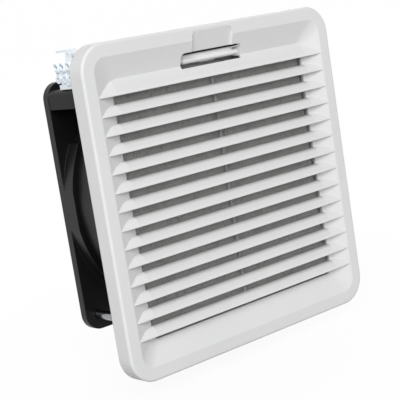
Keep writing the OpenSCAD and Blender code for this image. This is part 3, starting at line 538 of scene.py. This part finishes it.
CARRIER_BLACK = MouldedPlastic(
    "carrier_black", (0.009, 0.009, 0.0096), (0.013, 0.013, 0.014), edge_colour=(0.03, 0.03, 0.031), roughness=0.38,
    grain=0.4, grain_depth=0.015, edge=0.35, dust=0.08, dust_colour=grey(0.07), specular=0.16)
TERMINAL_PALE = ClearPlastic(
    "terminal_pale", (0.86, 0.905, 0.945), (0.74, 0.81, 0.87), edge_colour=(0.92, 0.95, 0.975), roughness=0.42,
    grain=1.6, grain_depth=0.006, edge=0.12, edge_share=1.0, uneven=0.0, through=0.04)
ZINC = Metal("zinc_plating", (0.78, 0.79, 0.81), (0.64, 0.65, 0.68), roughness=0.17)
SCREW_STEEL = Metal("screw_steel", (0.36, 0.37, 0.39), (0.27, 0.28, 0.3), roughness=0.14)
BRIGHT_WIRE = Metal(
    "bright_wire", (0.72, 0.73, 0.75), (0.6, 0.61, 0.63), roughness=0.2, lines=(1800.0, 400.0, 1800.0))
SPRING_STEEL = Metal(
    "spring_steel", (0.42, 0.43, 0.45), (0.33, 0.34, 0.36), roughness=0.34, lines=(300.0, 300.0, 5200.0))
DRAWN_CUP = Metal(
    "drawn_cup", (0.5, 0.51, 0.52), (0.42, 0.43, 0.44), roughness=0.36, lines=(900.0, 4200.0, 900.0))
LAMINATED = Metal(
    "stacked_sheets", (0.3, 0.3, 0.31), (0.22, 0.22, 0.23), roughness=0.45, lines=(120.0, 9000.0, 120.0), depth=0.05)
CAST_CAGE = Metal(
    "cast_cage", (0.55, 0.55, 0.56), (0.44, 0.44, 0.45), roughness=0.5, lines=(1500.0, 1500.0, 1500.0), depth=0.03)
BRASS = Metal(
    "turned_brass", (0.7, 0.5, 0.2), (0.58, 0.4, 0.15), roughness=0.28, lines=(600.0, 5200.0, 600.0))
COPPER = Metal(
    "enamelled_copper", (0.55, 0.2, 0.08), (0.42, 0.14, 0.055), roughness=0.3, lines=(1200.0, 1200.0, 1200.0),
    depth=0.01, edge=0.08, coat=0.6)
FLEECE = SoftSheet(
    "filter_fleece", (0.415, 0.415, 0.405), (0.19, 0.19, 0.186), pattern=Effect.FIBRES, relief=(0.3, 1.2), depth=0.25,
    patches=0.0, roughness=0.95, sheen=0.25, specular=0.2)
FOAM = SoftSheet(
    "gasket_foam", (0.028, 0.028, 0.029), (0.01, 0.01, 0.0105), pattern=Effect.PORES, relief=(0.0, 1.0), depth=0.12,
    patches=0.4, roughness=0.88, sheen=0.0, specular=0.25)


@cache
def material_of(finish: Finish) -> bpy.types.Material:
    """Make a finish's material on its first use."""
    return finish.material()


def dress(piece: bpy.types.Object, finish: Finish) -> None:
    """Put a finish on all of a piece.

    Args:
        piece: the piece.
        finish: its finish.
    """
    slots = piece.data.materials
    if not slots:
        slots.append(material_of(finish))
    for index in range(len(slots)):
        slots[index] = material_of(finish)


def dress_nodes(finishes: dict[str, Finish]) -> None:
    """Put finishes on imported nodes.

    Args:
        finishes: a finish for each node's name.
    """
    for name, finish in finishes.items():
        dress(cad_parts[name], finish)
        LOG.info("dressed %s in %s", name, finish.name)


def new_object(name: str, data: bpy.types.ID) -> bpy.types.Object:
    """Put an object in the scene.

    Args:
        name: the object's name.
        data: its mesh, camera or lamp.

    Returns:
        The new object.
    """
    made = bpy.data.objects.new(name, data)
    bpy.context.scene.collection.objects.link(made)
    return made


def new_piece(name: str, skin: Skin, finish: Finish, body: Body, sharp: float = 40.0) -> bpy.types.Object:
    """Make a mesh piece that rides on a body.

    Args:
        name: the piece's name.
        skin: its points, in metres, and its faces.
        finish: its finish.
        body: the body that it rides on.
        sharp: angle above which an edge stays sharp, in degrees.

    Returns:
        The new piece.
    """
    weld = 1e-7
    points, faces = skin
    mesh = bpy.data.meshes.new(name)
    mesh.from_pydata([tuple(p) for p in points], [], [tuple(f) for f in faces])
    work = bmesh.new()
    work.from_mesh(mesh)
    bmesh.ops.remove_doubles(work, verts=work.verts, dist=weld)
    bmesh.ops.recalc_face_normals(work, faces=work.faces)
    for face in work.faces:
        face.smooth = True
    for edge in work.edges:
        edge.smooth = len(edge.link_faces) == 2 and edge.calc_face_angle(0.0) < math.radians(sharp)
    work.to_mesh(mesh)
    work.free()
    piece = new_object(name, mesh)
    dress(piece, finish)
    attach(piece, body.value)
    LOG.info("made %s with %d faces", name, len(mesh.polygons))
    return piece


def rounded_outline(half_u: float, half_v: float, radius: float, corner_steps: int = 8, side_steps: int = 1) -> Walk:
    """Walk round a rectangle with rounded corners.

    Args:
        half_u: half of its width.
        half_v: half of its height.
        radius: radius of its corners.
        corner_steps: steps per corner.
        side_steps: steps per straight side.

    Returns:
        Points of the plane, each with its outward direction.
    """
    walk: Walk = []
    straight_u, straight_v = half_u - radius, half_v - radius
    for quarter, (u, v) in enumerate(((1, 1), (-1, 1), (-1, -1), (1, -1))):
        for step in range(corner_steps + 1):
            angle = QUARTER * (quarter + step / corner_steps)
            out = Vector((math.cos(angle), math.sin(angle)))
            walk.append((Vector((u * straight_u, v * straight_v)) + out * radius, out))
        start, out = walk[-1]
        side = 2 * (straight_v if quarter % 2 else straight_u) * Vector((-out.y, out.x))
        walk += [(start + side * (step / side_steps), out) for step in range(1, side_steps)]
    return walk


def loft(rings: Sequence[Sequence[Vector]], closed: bool) -> Skin:
    """Join rings of points into a skin.

    Args:
        rings: rings of the same length, in order.
        closed: True joins the last ring to the first, False caps both ends.

    Returns:
        The points and the faces.
    """
    count = len(rings[0])
    points = [p for ring in rings for p in ring]
    faces = []
    for r in range(len(rings) if closed else len(rings) - 1):
        a, b = r * count, ((r + 1) % len(rings)) * count
        faces += [[a + i, a + (i + 1) % count, b + (i + 1) % count, b + i] for i in range(count)]
    if not closed:
        faces += [list(range(count)), list(range((len(rings) - 1) * count, len(rings) * count))]
    return points, faces


def waviness(spot: Vector, seed: float) -> float:
    """Give smooth noise, from about -1 to 1, at a spot of a plane."""
    return noise.noise(Vector((*spot, seed)))


def merged(skins: Iterable[Skin]) -> Skin:
    """Put several skins in one mesh.

    Args:
        skins: the skins.

    Returns:
        All their points and faces.
    """
    points: list[Vector] = []
    faces: list[list[int]] = []
    for more, skin in skins:
        faces += [[i + len(points) for i in face] for face in skin]
        points += more
    return points, faces


def tube(path: Sequence[Vector], radius: float) -> Skin:
    """Make a round wire along a path.

    Args:
        path: points of its middle line.
        radius: radius of the wire.

    Returns:
        The points and the faces.
    """
    sides = 10
    turns = [2 * math.pi * k / sides for k in range(sides)]
    rings = []
    side = Vector((0.0, 0.0, 1.0))
    for i, here in enumerate(path):
        ahead = (path[min(i + 1, len(path) - 1)] - path[max(i - 1, 0)]).normalized()
        side = (side - ahead * side.dot(ahead)).normalized()
        other = ahead.cross(side)
        rings.append([here + (side * math.cos(t) + other * math.sin(t)) * radius for t in turns])
    return loft(rings, closed=False)


@dataclass
class FrontCover:
    """The louvred front cover with its latch bar and spring."""

    spring_turns: int = 4  # turns of the latch spring
    spring_wire: float = 0.5 * MM  # diameter of its wire, in metres
    turn_steps: int = 20  # steps per turn of its mesh

    def build(self) -> None:
        """Dress the cover and the bar, and wind the spring."""
        dress_nodes({"front_cover": COVER_GREY, "latch_bar": LATCH_GREY})
        self.wind_spring()

    def wind_spring(self) -> None:
        """Wind the torsion spring round the bar's left stub."""
        low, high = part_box("latch_spring")
        middle = (low + high) / 2
        radius = (high.z - low.z) / 2 - self.spring_wire / 2
        steps = self.turn_steps * self.spring_turns
        length = high.x - low.x - self.spring_wire
        path = []
        for i in range(steps + 1):
            turn = 2 * math.pi * self.spring_turns * i / steps
            x = high.x - self.spring_wire / 2 - length * i / steps
            path.append(Vector((x, middle.y + radius * math.cos(turn), middle.z + radius * math.sin(turn))))
        skin = tube(path, self.spring_wire / 2)
        piece = new_piece("wound_latch_spring", skin, SPRING_STEEL, Body.LATCH)
        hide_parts("latch_spring")


@dataclass
class MountingFrame:
    """The snap-in frame with its gasket, clips and hinge pins. Lengths are in metres."""

    gasket_width: float = 6.0 * MM  # width of the foam strip
    corner: float = 7.5 * MM  # radius of the strip's outer corners
    crown: float = 0.5 * MM  # rounding of the strip's section
    slack: float = 0.07 * MM  # how far its sides stay inside its packed box
    ripple: float = 0.06 * MM  # height of its unevenness
    waves: float = 90.0  # waves of that unevenness per metre
    lip_half: float = 23.0 * MM  # half length of the lip behind the latch
    lip_reach: float = 62.5 * MM  # height from which that lip stands
    lip_thickness: float = 0.46 * MM
    lip_gap: float = 0.02 * MM  # room behind it
    lip_ripple: float = 0.05 * MM  # height of its unevenness
    lip_waves: float = 120.0  # waves of that unevenness per metre

    def build(self) -> None:
        """Dress the frame and lay the gasket."""
        dress_nodes({"mounting_frame": FRAME_GREY, "panel_clips": SPRING_STEEL, "hinge_pins": ZINC})
        self.lay_gasket()

    def lay_gasket(self) -> None:
        """Sweep the foam strip's rounded section round the flange, and hang its lip."""
        low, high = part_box("panel_gasket")
        half, middle_y = high.x, (low.y + high.y) / 2
        section = rounded_outline(self.gasket_width / 2, (high.y - low.y) / 2, self.crown, corner_steps=3)
        centre = half - self.gasket_width / 2
        rings = []
        for spot, out in rounded_outline(centre, centre, self.corner - self.gasket_width / 2, side_steps=12):
            ripple = self.ripple * waviness(spot * self.waves, seed=3.0)
            ring = []
            for (u, v), _ in section:
                flat = spot + out * (u + math.copysign(1.0, u) * (ripple - self.slack))
                ring.append(Vector((flat.x, middle_y + v, flat.y)))
            rings.append(ring)
        skin = merged((loft(rings, closed=True), self._lip(high.y, half - self.gasket_width)))
        piece = new_piece("foam_gasket", skin, FOAM, Body.CHASSIS)
        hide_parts("panel_gasket")

    def _lip(self, back_y: float, inner_z: float) -> Skin:
        """Build the thin lip that hangs from the strip and closes the gap above the latch bar.

        Args:
            back_y: depth of the strip's back.
            inner_z: height of the strip's inner side.

        Returns:
            The points and the faces.
        """
        half_steps, edge_steps = 12, 6
        radius = self.lip_thickness / 2
        middle, root = back_y - radius - self.lip_gap, inner_z + self.crown
        rings = []
        for step in range(2 * half_steps + 1):
            x = self.lip_half * (step / half_steps - 1)
            edge = self.lip_reach + self.lip_ripple * waviness(Vector((x * self.lip_waves, 1.0)), seed=4.0)
            ring = [Vector((x, middle + radius, root)), Vector((x, middle - radius, root))]
            for turn in range(edge_steps + 1):
                angle = math.pi * (1 + turn / edge_steps)
                ring.append(Vector((x, middle + radius * math.cos(angle), edge + radius * (1 + math.sin(angle)))))
            rings.append(ring)
        return loft(rings, closed=False)


@dataclass
class FilterStage:
    """The filter mat and the guard grid behind it. Lengths are in metres."""

    cell: float = 1.4 * MM  # spacing of the mat's mesh
    layers: int = 4  # layers of that mesh through the mat
    corner: float = 3.0 * MM  # radius of the mat's corners
    room: Pair = (22.6 * MM, 56.6 * MM)  # half width, and lowest height, of the cut-out for the latch
    hook_room: Pair = (6.5 * MM, 55.4 * MM)  # the same for the latch's hook
    sink: float = 0.35 * MM  # how far the front lies back from its packed face
    rim_sink: float = 0.7 * MM  # how much further it lies back at its rim
    tuck: float = 0.35 * MM  # how far the rim draws in at the front and the back
    lumps: float = 75.0  # lumps of the front per metre
    fine_lumps: float = 260.0  # finer lumps per metre

    def build(self) -> None:
        """Dress the grid and lay the mat."""
        dress_nodes({"guard_grid": FRAME_GREY})
        self.lay_mat()

    def is_cut(self, x: float, z: float) -> bool:
        """Tell whether a spot lies in the cut-outs for the latch."""
        return any(abs(x) < half and z > floor for half, floor in (self.room, self.hook_room))

    def lay_mat(self) -> None:
        """Build the mat as a crowned, slightly uneven pad with cut-outs for the latch."""
        low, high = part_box("filter_mat")
        half = high.x
        lines = sorted({*self._lines(half), *(s * w for s in (-1, 1) for w in (self.room[0], self.hook_room[0]))})
        heights = sorted({*self._lines(half), self.room[1], self.hook_room[1]})
        work = bmesh.new()
        grid = [[work.verts.new((*self._soft_corner(x, z, half), 0.0)) for z in heights] for x in lines]
        for i in range(len(lines) - 1):
            for j in range(len(heights) - 1):
                x, z = (lines[i] + lines[i + 1]) / 2, (heights[j] + heights[j + 1]) / 2
                if not self.is_cut(x, z):
                    work.faces.new((grid[i][j], grid[i + 1][j], grid[i + 1][j + 1], grid[i][j + 1]))
        bmesh.ops.delete(work, geom=[v for v in work.verts if not v.link_faces], context="VERTS")
        work.verts.index_update()
        skin = self._pad(work, low.y, high.y)
        work.free()
        piece = new_piece("fleece_mat", skin, FLEECE, Body.CHASSIS, sharp=70.0)
        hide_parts("filter_mat")

    def _lines(self, half: float) -> list[float]:
        """Give evenly spaced grid lines across the mat."""
        count = round(2 * half / self.cell)
        return [-half + 2 * half * i / count for i in range(count + 1)]

    def _soft_corner(self, x: float, z: float, half: float) -> Pair:
        """Pull a spot of the square grid inside the rounded corner.

        Args:
            x: its place across.
            z: its height.
            half: half of the mat's width.

        Returns:
            Its new place and height.
        """
        start = half - self.corner
        dx, dz = abs(x) - start, abs(z) - start
        if dx <= 0 or dz <= 0:
            return x, z
        reach = max(dx, dz) / math.hypot(dx, dz)
        return math.copysign(start + dx * reach, x), math.copysign(start + dz * reach, z)

    def _pad(self, flat: bmesh.types.BMesh, front_y: float, back_y: float) -> Skin:
        """Give the flat pattern its thickness, with soft edges and an uneven front.

        Args:
            flat: the pattern, with numbered vertices.
            front_y: depth of the mat's front.
            back_y: depth of its back.

        Returns:
            The points and the faces.
        """
        lump_share, fine_share = 0.6, 0.5
        count, layers = len(flat.verts), self.layers
        points = []
        for layer in range(layers + 1):
            share = layer / layers
            for vert in flat.verts:
                x, z = spot = vert.co.xy
                lumps = waviness(spot * self.lumps, seed=0.0) + fine_share * waviness(spot * self.fine_lumps, seed=5.0)
                dip, inward = self.sink * (1 + lump_share * lumps) * (1 - share), 1.0
                if vert.is_boundary:
                    dip += self.rim_sink * (1 - share)
                    inward -= self.tuck * (2 * share - 1) ** 2 / math.hypot(x, z)
                points.append(Vector((x * inward, front_y + dip + (back_y - front_y - dip) * share, z * inward)))
        cells = [[v.index for v in face.verts] for face in flat.faces]
        faces = [[c + layer * count for c in cell] for cell in cells for layer in (0, layers)]
        for a, b in ([v.index for v in edge.verts] for edge in flat.edges if edge.is_boundary):
            faces += [[a + k * count, b + k * count, b + (k + 1) * count, a + (k + 1) * count] for k in range(layers)]
        used = sorted({i for face in faces for i in face})
        place = {old: new for new, old in enumerate(used)}
        return [points[i] for i in used], [[place[i] for i in face] for face in faces]


@dataclass(frozen=True)
class CrossScrew:
    """A long screw with a cross recess, about its own axis along Y. Lengths are in metres."""

    radius: float = 2.0 * MM  # radius of its shank
    tip_radius: float = 1.24 * MM
    pitch: float = 0.7 * MM
    threaded: float = 12.0 * MM  # length of its thread
    thread_depth: float = 0.4 * MM
    pitch_steps: int = 6  # rings of its mesh per pitch
    head_radius: float = 3.7 * MM
    head_height: float = 2.2 * MM
    head_round: float = 0.7 * MM  # rounding of the head's upper edge
    chamfer: float = 0.15 * MM  # chamfer of the head's lower edge
    arm_reach: float = 2.1 * MM  # half length of the recess's arms
    arm_half: float = 0.5 * MM  # half width of the recess's arms
    recess: tuple[Pair, ...] = ((1.0, 0.0), (0.8, 0.5 * MM), (0.55, 1.3 * MM))  # its size and depth, from the top down
    sides: int = 32  # sides of its section

    def skin(self, tip_y: float, top_y: float) -> Skin:
        """Build the screw from its tip to the floor of its recess.

        Args:
            tip_y: depth of its tip.
            top_y: depth of its head's top.

        Returns:
            The points and the faces.
        """
        round_steps, soft = 5, self.head_round
        head_y = top_y - self.head_height
        rings = [self._ring([self.tip_radius] * self.sides, tip_y)]
        for i in range(1, int(self.pitch_steps * self.threaded / self.pitch)):
            along = i * self.pitch / self.pitch_steps
            rings.append(self._ring([self._thread(along, k) for k in range(self.sides)], tip_y + along))
        profile = [(self.radius, tip_y + self.threaded), (self.radius, head_y),
                   (self.head_radius - self.chamfer, head_y), (self.head_radius, head_y + self.chamfer)]
        for step in range(round_steps + 1):
            angle = QUARTER * step / round_steps
            profile.append((self.head_radius - soft + soft * math.cos(angle), top_y - soft + soft * math.sin(angle)))
        rings += [self._ring([radius] * self.sides, y) for radius, y in profile]
        for size, depth in self.recess:
            rings.append(self._ring([size * self._arm(k) for k in range(self.sides)], top_y - depth))
        return loft(rings, closed=False)

    def _ring(self, radii: Sequence[float], y: float) -> list[Vector]:
        """Give a ring of points at a depth, one for each radius."""
        angles = [2 * math.pi * k / self.sides for k in range(self.sides)]
        return [Vector((r * math.cos(a), y, r * math.sin(a))) for r, a in zip(radii, angles)]

    def _thread(self, along: float, k: int) -> float:
        """Give the thread's radius at a spot.

        Args:
            along: distance from the tip.
            k: number of the spot in its ring.

        Returns:
            The radius.
        """
        blunt = 0.72
        phase = (along / self.pitch - k / self.sides) % 1.0
        run_out = min(1.0, (self.threaded - along) / self.pitch)
        cut = self.thread_depth * (1 - abs(2 * phase - 1)) * run_out
        return (self.radius - cut) * min(1.0, blunt + (1 - blunt) * along / self.pitch)

    def _arm(self, k: int) -> float:
        """Give the radius of the cross recess at a spot.

        Args:
            k: number of the spot in its ring.

        Returns:
            The radius.
        """
        tip_angle, hollow, eighth = 0.12, 0.2, math.pi / 4
        near = abs(math.remainder(2 * math.pi * k / self.sides, QUARTER))
        side = self.arm_reach if near < tip_angle else min(self.arm_reach, self.arm_half / math.sin(near))
        return max(side, self.arm_half / math.cos(eighth - abs(near - eighth) * hollow))


@dataclass
class AxialFan:
    """The fan: housing, impeller, motor, finger guard and screws. Lengths are in metres."""

    screw: CrossScrew = CrossScrew()  # one of its four screws
    coil_depth: float = 2.35 * MM  # thickness of a coil, from its outside to the pole
    coil_corner: float = 3.0 * MM  # radius of a coil's corners
    ridges: int = 11  # layers of wire that show across a coil
    ridge_height: float = 0.14 * MM  # height of their ridges
    ridge_foot: float = 0.16 * MM  # depth of the ridges' feet below the coil's outside
    coil_past: float = 5.0 * MM  # distance from the axis beyond which a coil's nodes lie
    coil_beside: float = 9.0 * MM  # half width within which they lie

    def build(self) -> None:
        """Dress the fan's nodes and make its screws and coils."""
        dress_nodes({
            "fan_housing": HOUSING_BLACK, "impeller": IMPELLER_BLACK, "bearing_cap": HOUSING_BLACK,
            "finger_guard": BRIGHT_WIRE, "rotor_cup": DRAWN_CUP, "rotor_cage": CAST_CAGE, "shaft": ZINC,
            "shaft_clip": SPRING_STEEL, "wave_washer": SPRING_STEEL, "front_bearing": ZINC, "rear_bearing": ZINC,
            "bearing_tube": BRASS, "stator_core": LAMINATED, "fan_rear_frame": HOUSING_BLACK,
        })
        self.make_screws()
        self.wind_coils()

    def make_screws(self) -> None:
        """Turn the four long screws, each with a thread and a cross recess."""
        low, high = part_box("fan_screws")
        middle = high.x - self.screw.head_radius
        points, faces = self.screw.skin(low.y, high.y)
        corners = [Vector((x, 0.0, z)) for x in (-middle, middle) for z in (-middle, middle)]
        skin = merged(([p + corner for p in points], faces) for corner in corners)
        piece = new_piece("cross_head_screws", skin, SCREW_STEEL, Body.CHASSIS, sharp=30.0)
        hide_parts("fan_screws")

    def wind_coils(self) -> None:
        """Wind the four coils, with the ridges of their wire."""
        low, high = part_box("windings")
        beside = [v.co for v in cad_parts["windings"].data.vertices if abs(v.co.z) < self.coil_beside]
        right = [spot for spot in beside if spot.x > self.coil_past]
        inner, half_z = min(spot.x for spot in right), max(abs(spot.z) for spot in right)
        middle_y, half_y = (low.y + high.y) / 2, (high.y - low.y) / 2
        ridge_steps = 4
        steps = ridge_steps * self.ridges
        across = [(inner + (high.x - inner) * i / steps, self.ridge_height * abs(math.sin(math.pi * i / ridge_steps)))
                  for i in range(steps + 1)]
        section = [(x, lift - self.ridge_foot) for x, lift in across]
        section += [(x, self.ridge_foot - self.coil_depth - lift) for x, lift in reversed(across)]
        walk = rounded_outline(half_y, half_z, self.coil_corner)
        coils = []
        for quarter in range(4):
            turn = Matrix.Rotation(quarter * QUARTER, 3, "Y")
            rings = [[turn @ Vector((x, middle_y + spot.x + out.x * v, spot.y + out.y * v)) for x, v in section]
                     for spot, out in walk]
            coils.append(loft(rings, closed=True))
        piece = new_piece("wound_coils", merged(coils), COPPER, Body.CHASSIS, sharp=50.0)
        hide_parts("windings")


@dataclass
class Terminal:
    """The terminal block on the fan's upper left corner."""

    def build(self) -> None:
        """Dress the terminal's nodes."""
        dress_nodes({
            "terminal_carrier": CARRIER_BLACK, "terminal_body": TERMINAL_PALE, "terminal_lever": TERMINAL_PALE,
            "terminal_screws": ZINC, "terminal_clamps": BRASS, "lever_pin": ZINC,
        })


@dataclass
class Studio:
    """Camera, floor and light."""

    eye: Triple = (-0.3612, -0.4198, 0.0830)  # the camera's place, in metres
    right: Triple = (0.7464, -0.6472, -0.1547)  # the picture's right, in the part's frame
    up: Triple = (0.2200, 0.0209, 0.97525)  # the picture's up, in the part's frame
    lens: float = 107.34  # focal length, in millimetres
    sensor: float = 36.0  # width of the camera's sensor, in millimetres
    nearest: float = 0.01  # nearest distance that the camera sees, in metres
    key_from: Triple = (-0.604, -0.7, 0.45)  # direction that the main light comes from
    key_level: float = 1.0  # brightness that it gives a white face turned to it
    rear_from: Triple = (0.72, 0.6, 0.35)  # direction that the lamp behind the part shines from
    rear_level: float = 0.5  # brightness that it gives a white face turned to it
    lamp_distance: float = 3.0  # distance of both lamps, in metres
    lamp_width: float = 2.1  # width of both lamps, in metres
    fill: float = 0.37  # brightness of the even light all round
    fill_colour: Colour = (0.98, 0.99, 1.0)  # colour of that light
    backdrop: float = 0.995  # brightness of the background
    paper: float = 0.49  # how much light the floor sends back to the part
    sheet: float = 0.98  # whiteness of the floor where it is seen
    glow: float = 0.93  # share of plain white in the floor at the part, the rest being lit paper that keeps the shadow
    fade: Pair = (0.1, 0.32)  # distances from the part between which the floor turns plain white, in metres
    drop: float = 8.0 * MM  # how far the floor lies below the part at rest, clear of the open cover, in metres
    reach: float = 4.0  # half width of the floor, in metres

    def build(self) -> None:
        """Set up the camera, the light and the floor."""
        self.set_camera()
        self.set_light()
        self.lay_floor()
        bpy.context.scene.view_settings.view_transform = "Standard"

    def set_camera(self) -> None:
        """Place the camera where the photograph was taken from."""
        data = bpy.data.cameras.new("camera")
        data.lens = self.lens
        data.sensor_width = self.sensor
        data.clip_start = self.nearest
        camera = new_object("camera", data)
        right = Vector(self.right).normalized()
        up = Vector(self.up)
        up = (up - right * up.dot(right)).normalized()
        turn = Matrix((right, up, right.cross(up))).transposed()
        camera.matrix_world = Matrix.Translation(Vector(self.eye)) @ turn.to_4x4()
        bpy.context.scene.camera = camera

    def set_light(self) -> None:
        """Hang two large soft lamps and an even white surround."""
        self.hang_lamp("softbox", Vector(self.key_from), self.key_level)
        self.hang_lamp("rear_softbox", Vector(self.rear_from), self.rear_level)
        world = bpy.data.worlds.new("surround")
        graph = Graph.cleared(world)
        even, white = graph.add("ShaderNodeBackground"), graph.add("ShaderNodeBackground")
        graph.fill(even, {"Color": self.fill_colour, "Strength": self.fill})
        graph.fill(white, {"Color": grey(self.backdrop)})
        shown = graph.blend(self.seen_plainly(graph), even, white)
        graph.fill(graph.add("ShaderNodeOutputWorld"), {"Surface": shown.outputs[0]})
        bpy.context.scene.world = world

    def hang_lamp(self, name: str, source: Vector, level: float) -> None:
        """Hang a large soft lamp that looks at the part.

        Args:
            name: the lamp's name.
            source: direction that its light comes from.
            level: brightness that it gives a white face turned to it.
        """
        data = bpy.data.lights.new(name, "AREA")
        data.shape = "SQUARE"
        data.size = self.lamp_width
        data.energy = level * (math.pi * self.lamp_distance) ** 2
        lamp = new_object(name, data)
        lamp.location = source.normalized() * self.lamp_distance
        lamp.rotation_euler = source.to_track_quat("Z", "Y").to_euler()
        lamp.visible_camera = False

    @staticmethod
    def seen_plainly(graph: Graph) -> Socket:
        """Mark the rays that see the background: from the camera, in a mirror or through glass."""
        rays = graph.add("ShaderNodeLightPath").outputs
        return graph.fold("MAXIMUM", *(rays[f"Is {kind} Ray"] for kind in ("Camera", "Glossy", "Transmission")))

    def lay_floor(self) -> None:
        """Lay a white floor that keeps the shadow and is open from below."""
        low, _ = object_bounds()
        mesh = bpy.data.meshes.new("floor")
        corners = [(x * self.reach, y * self.reach, low.z - self.drop) for x, y in ((-1, -1), (1, -1), (1, 1), (-1, 1))]
        mesh.from_pydata(corners, [], [(0, 1, 2, 3)])
        mesh.materials.append(self.floor_material())
        floor = new_object("floor", mesh)
        floor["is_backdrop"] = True

    def floor_material(self) -> bpy.types.Material:
        """Make the floor's paper, which turns plain white away from the part.

        Returns:
            The new material.
        """
        material = bpy.data.materials.new("white_floor")
        graph = Graph.cleared(material)
        seen = self.seen_plainly(graph)
        paper, glow = graph.add("ShaderNodeBsdfDiffuse"), graph.add("ShaderNodeEmission")
        graph.fill(paper, {"Color": graph.mix(seen, grey(self.paper), grey(self.sheet))})
        graph.fill(glow, {"Color": grey(1.0)})
        away = graph.vector("LENGTH", graph.add("ShaderNodeTexCoord").outputs["Object"])["Value"]
        white = graph.spread(away, *self.fade, self.glow, self.backdrop)
        shown = graph.blend(graph.math("MULTIPLY", seen, white), paper, glow)
        below = graph.add("ShaderNodeNewGeometry").outputs["Backfacing"]
        faced = graph.blend(below, shown, graph.add("ShaderNodeBsdfTransparent"))
        graph.fill(graph.add("ShaderNodeOutputMaterial"), {"Surface": faced.outputs[0]})
        return material


def main() -> None:
    """Build the studio and each sub-assembly, logging each as it is built."""
    logging.basicConfig(level=logging.INFO, format="%(name)s: %(message)s")
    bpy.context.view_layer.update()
    for part in (Studio(), FrontCover(), MountingFrame(), FilterStage(), AxialFan(), Terminal()):
        part.build()
        LOG.info("built %s", type(part).__name__)


if __name__ == "__main__":
    main()
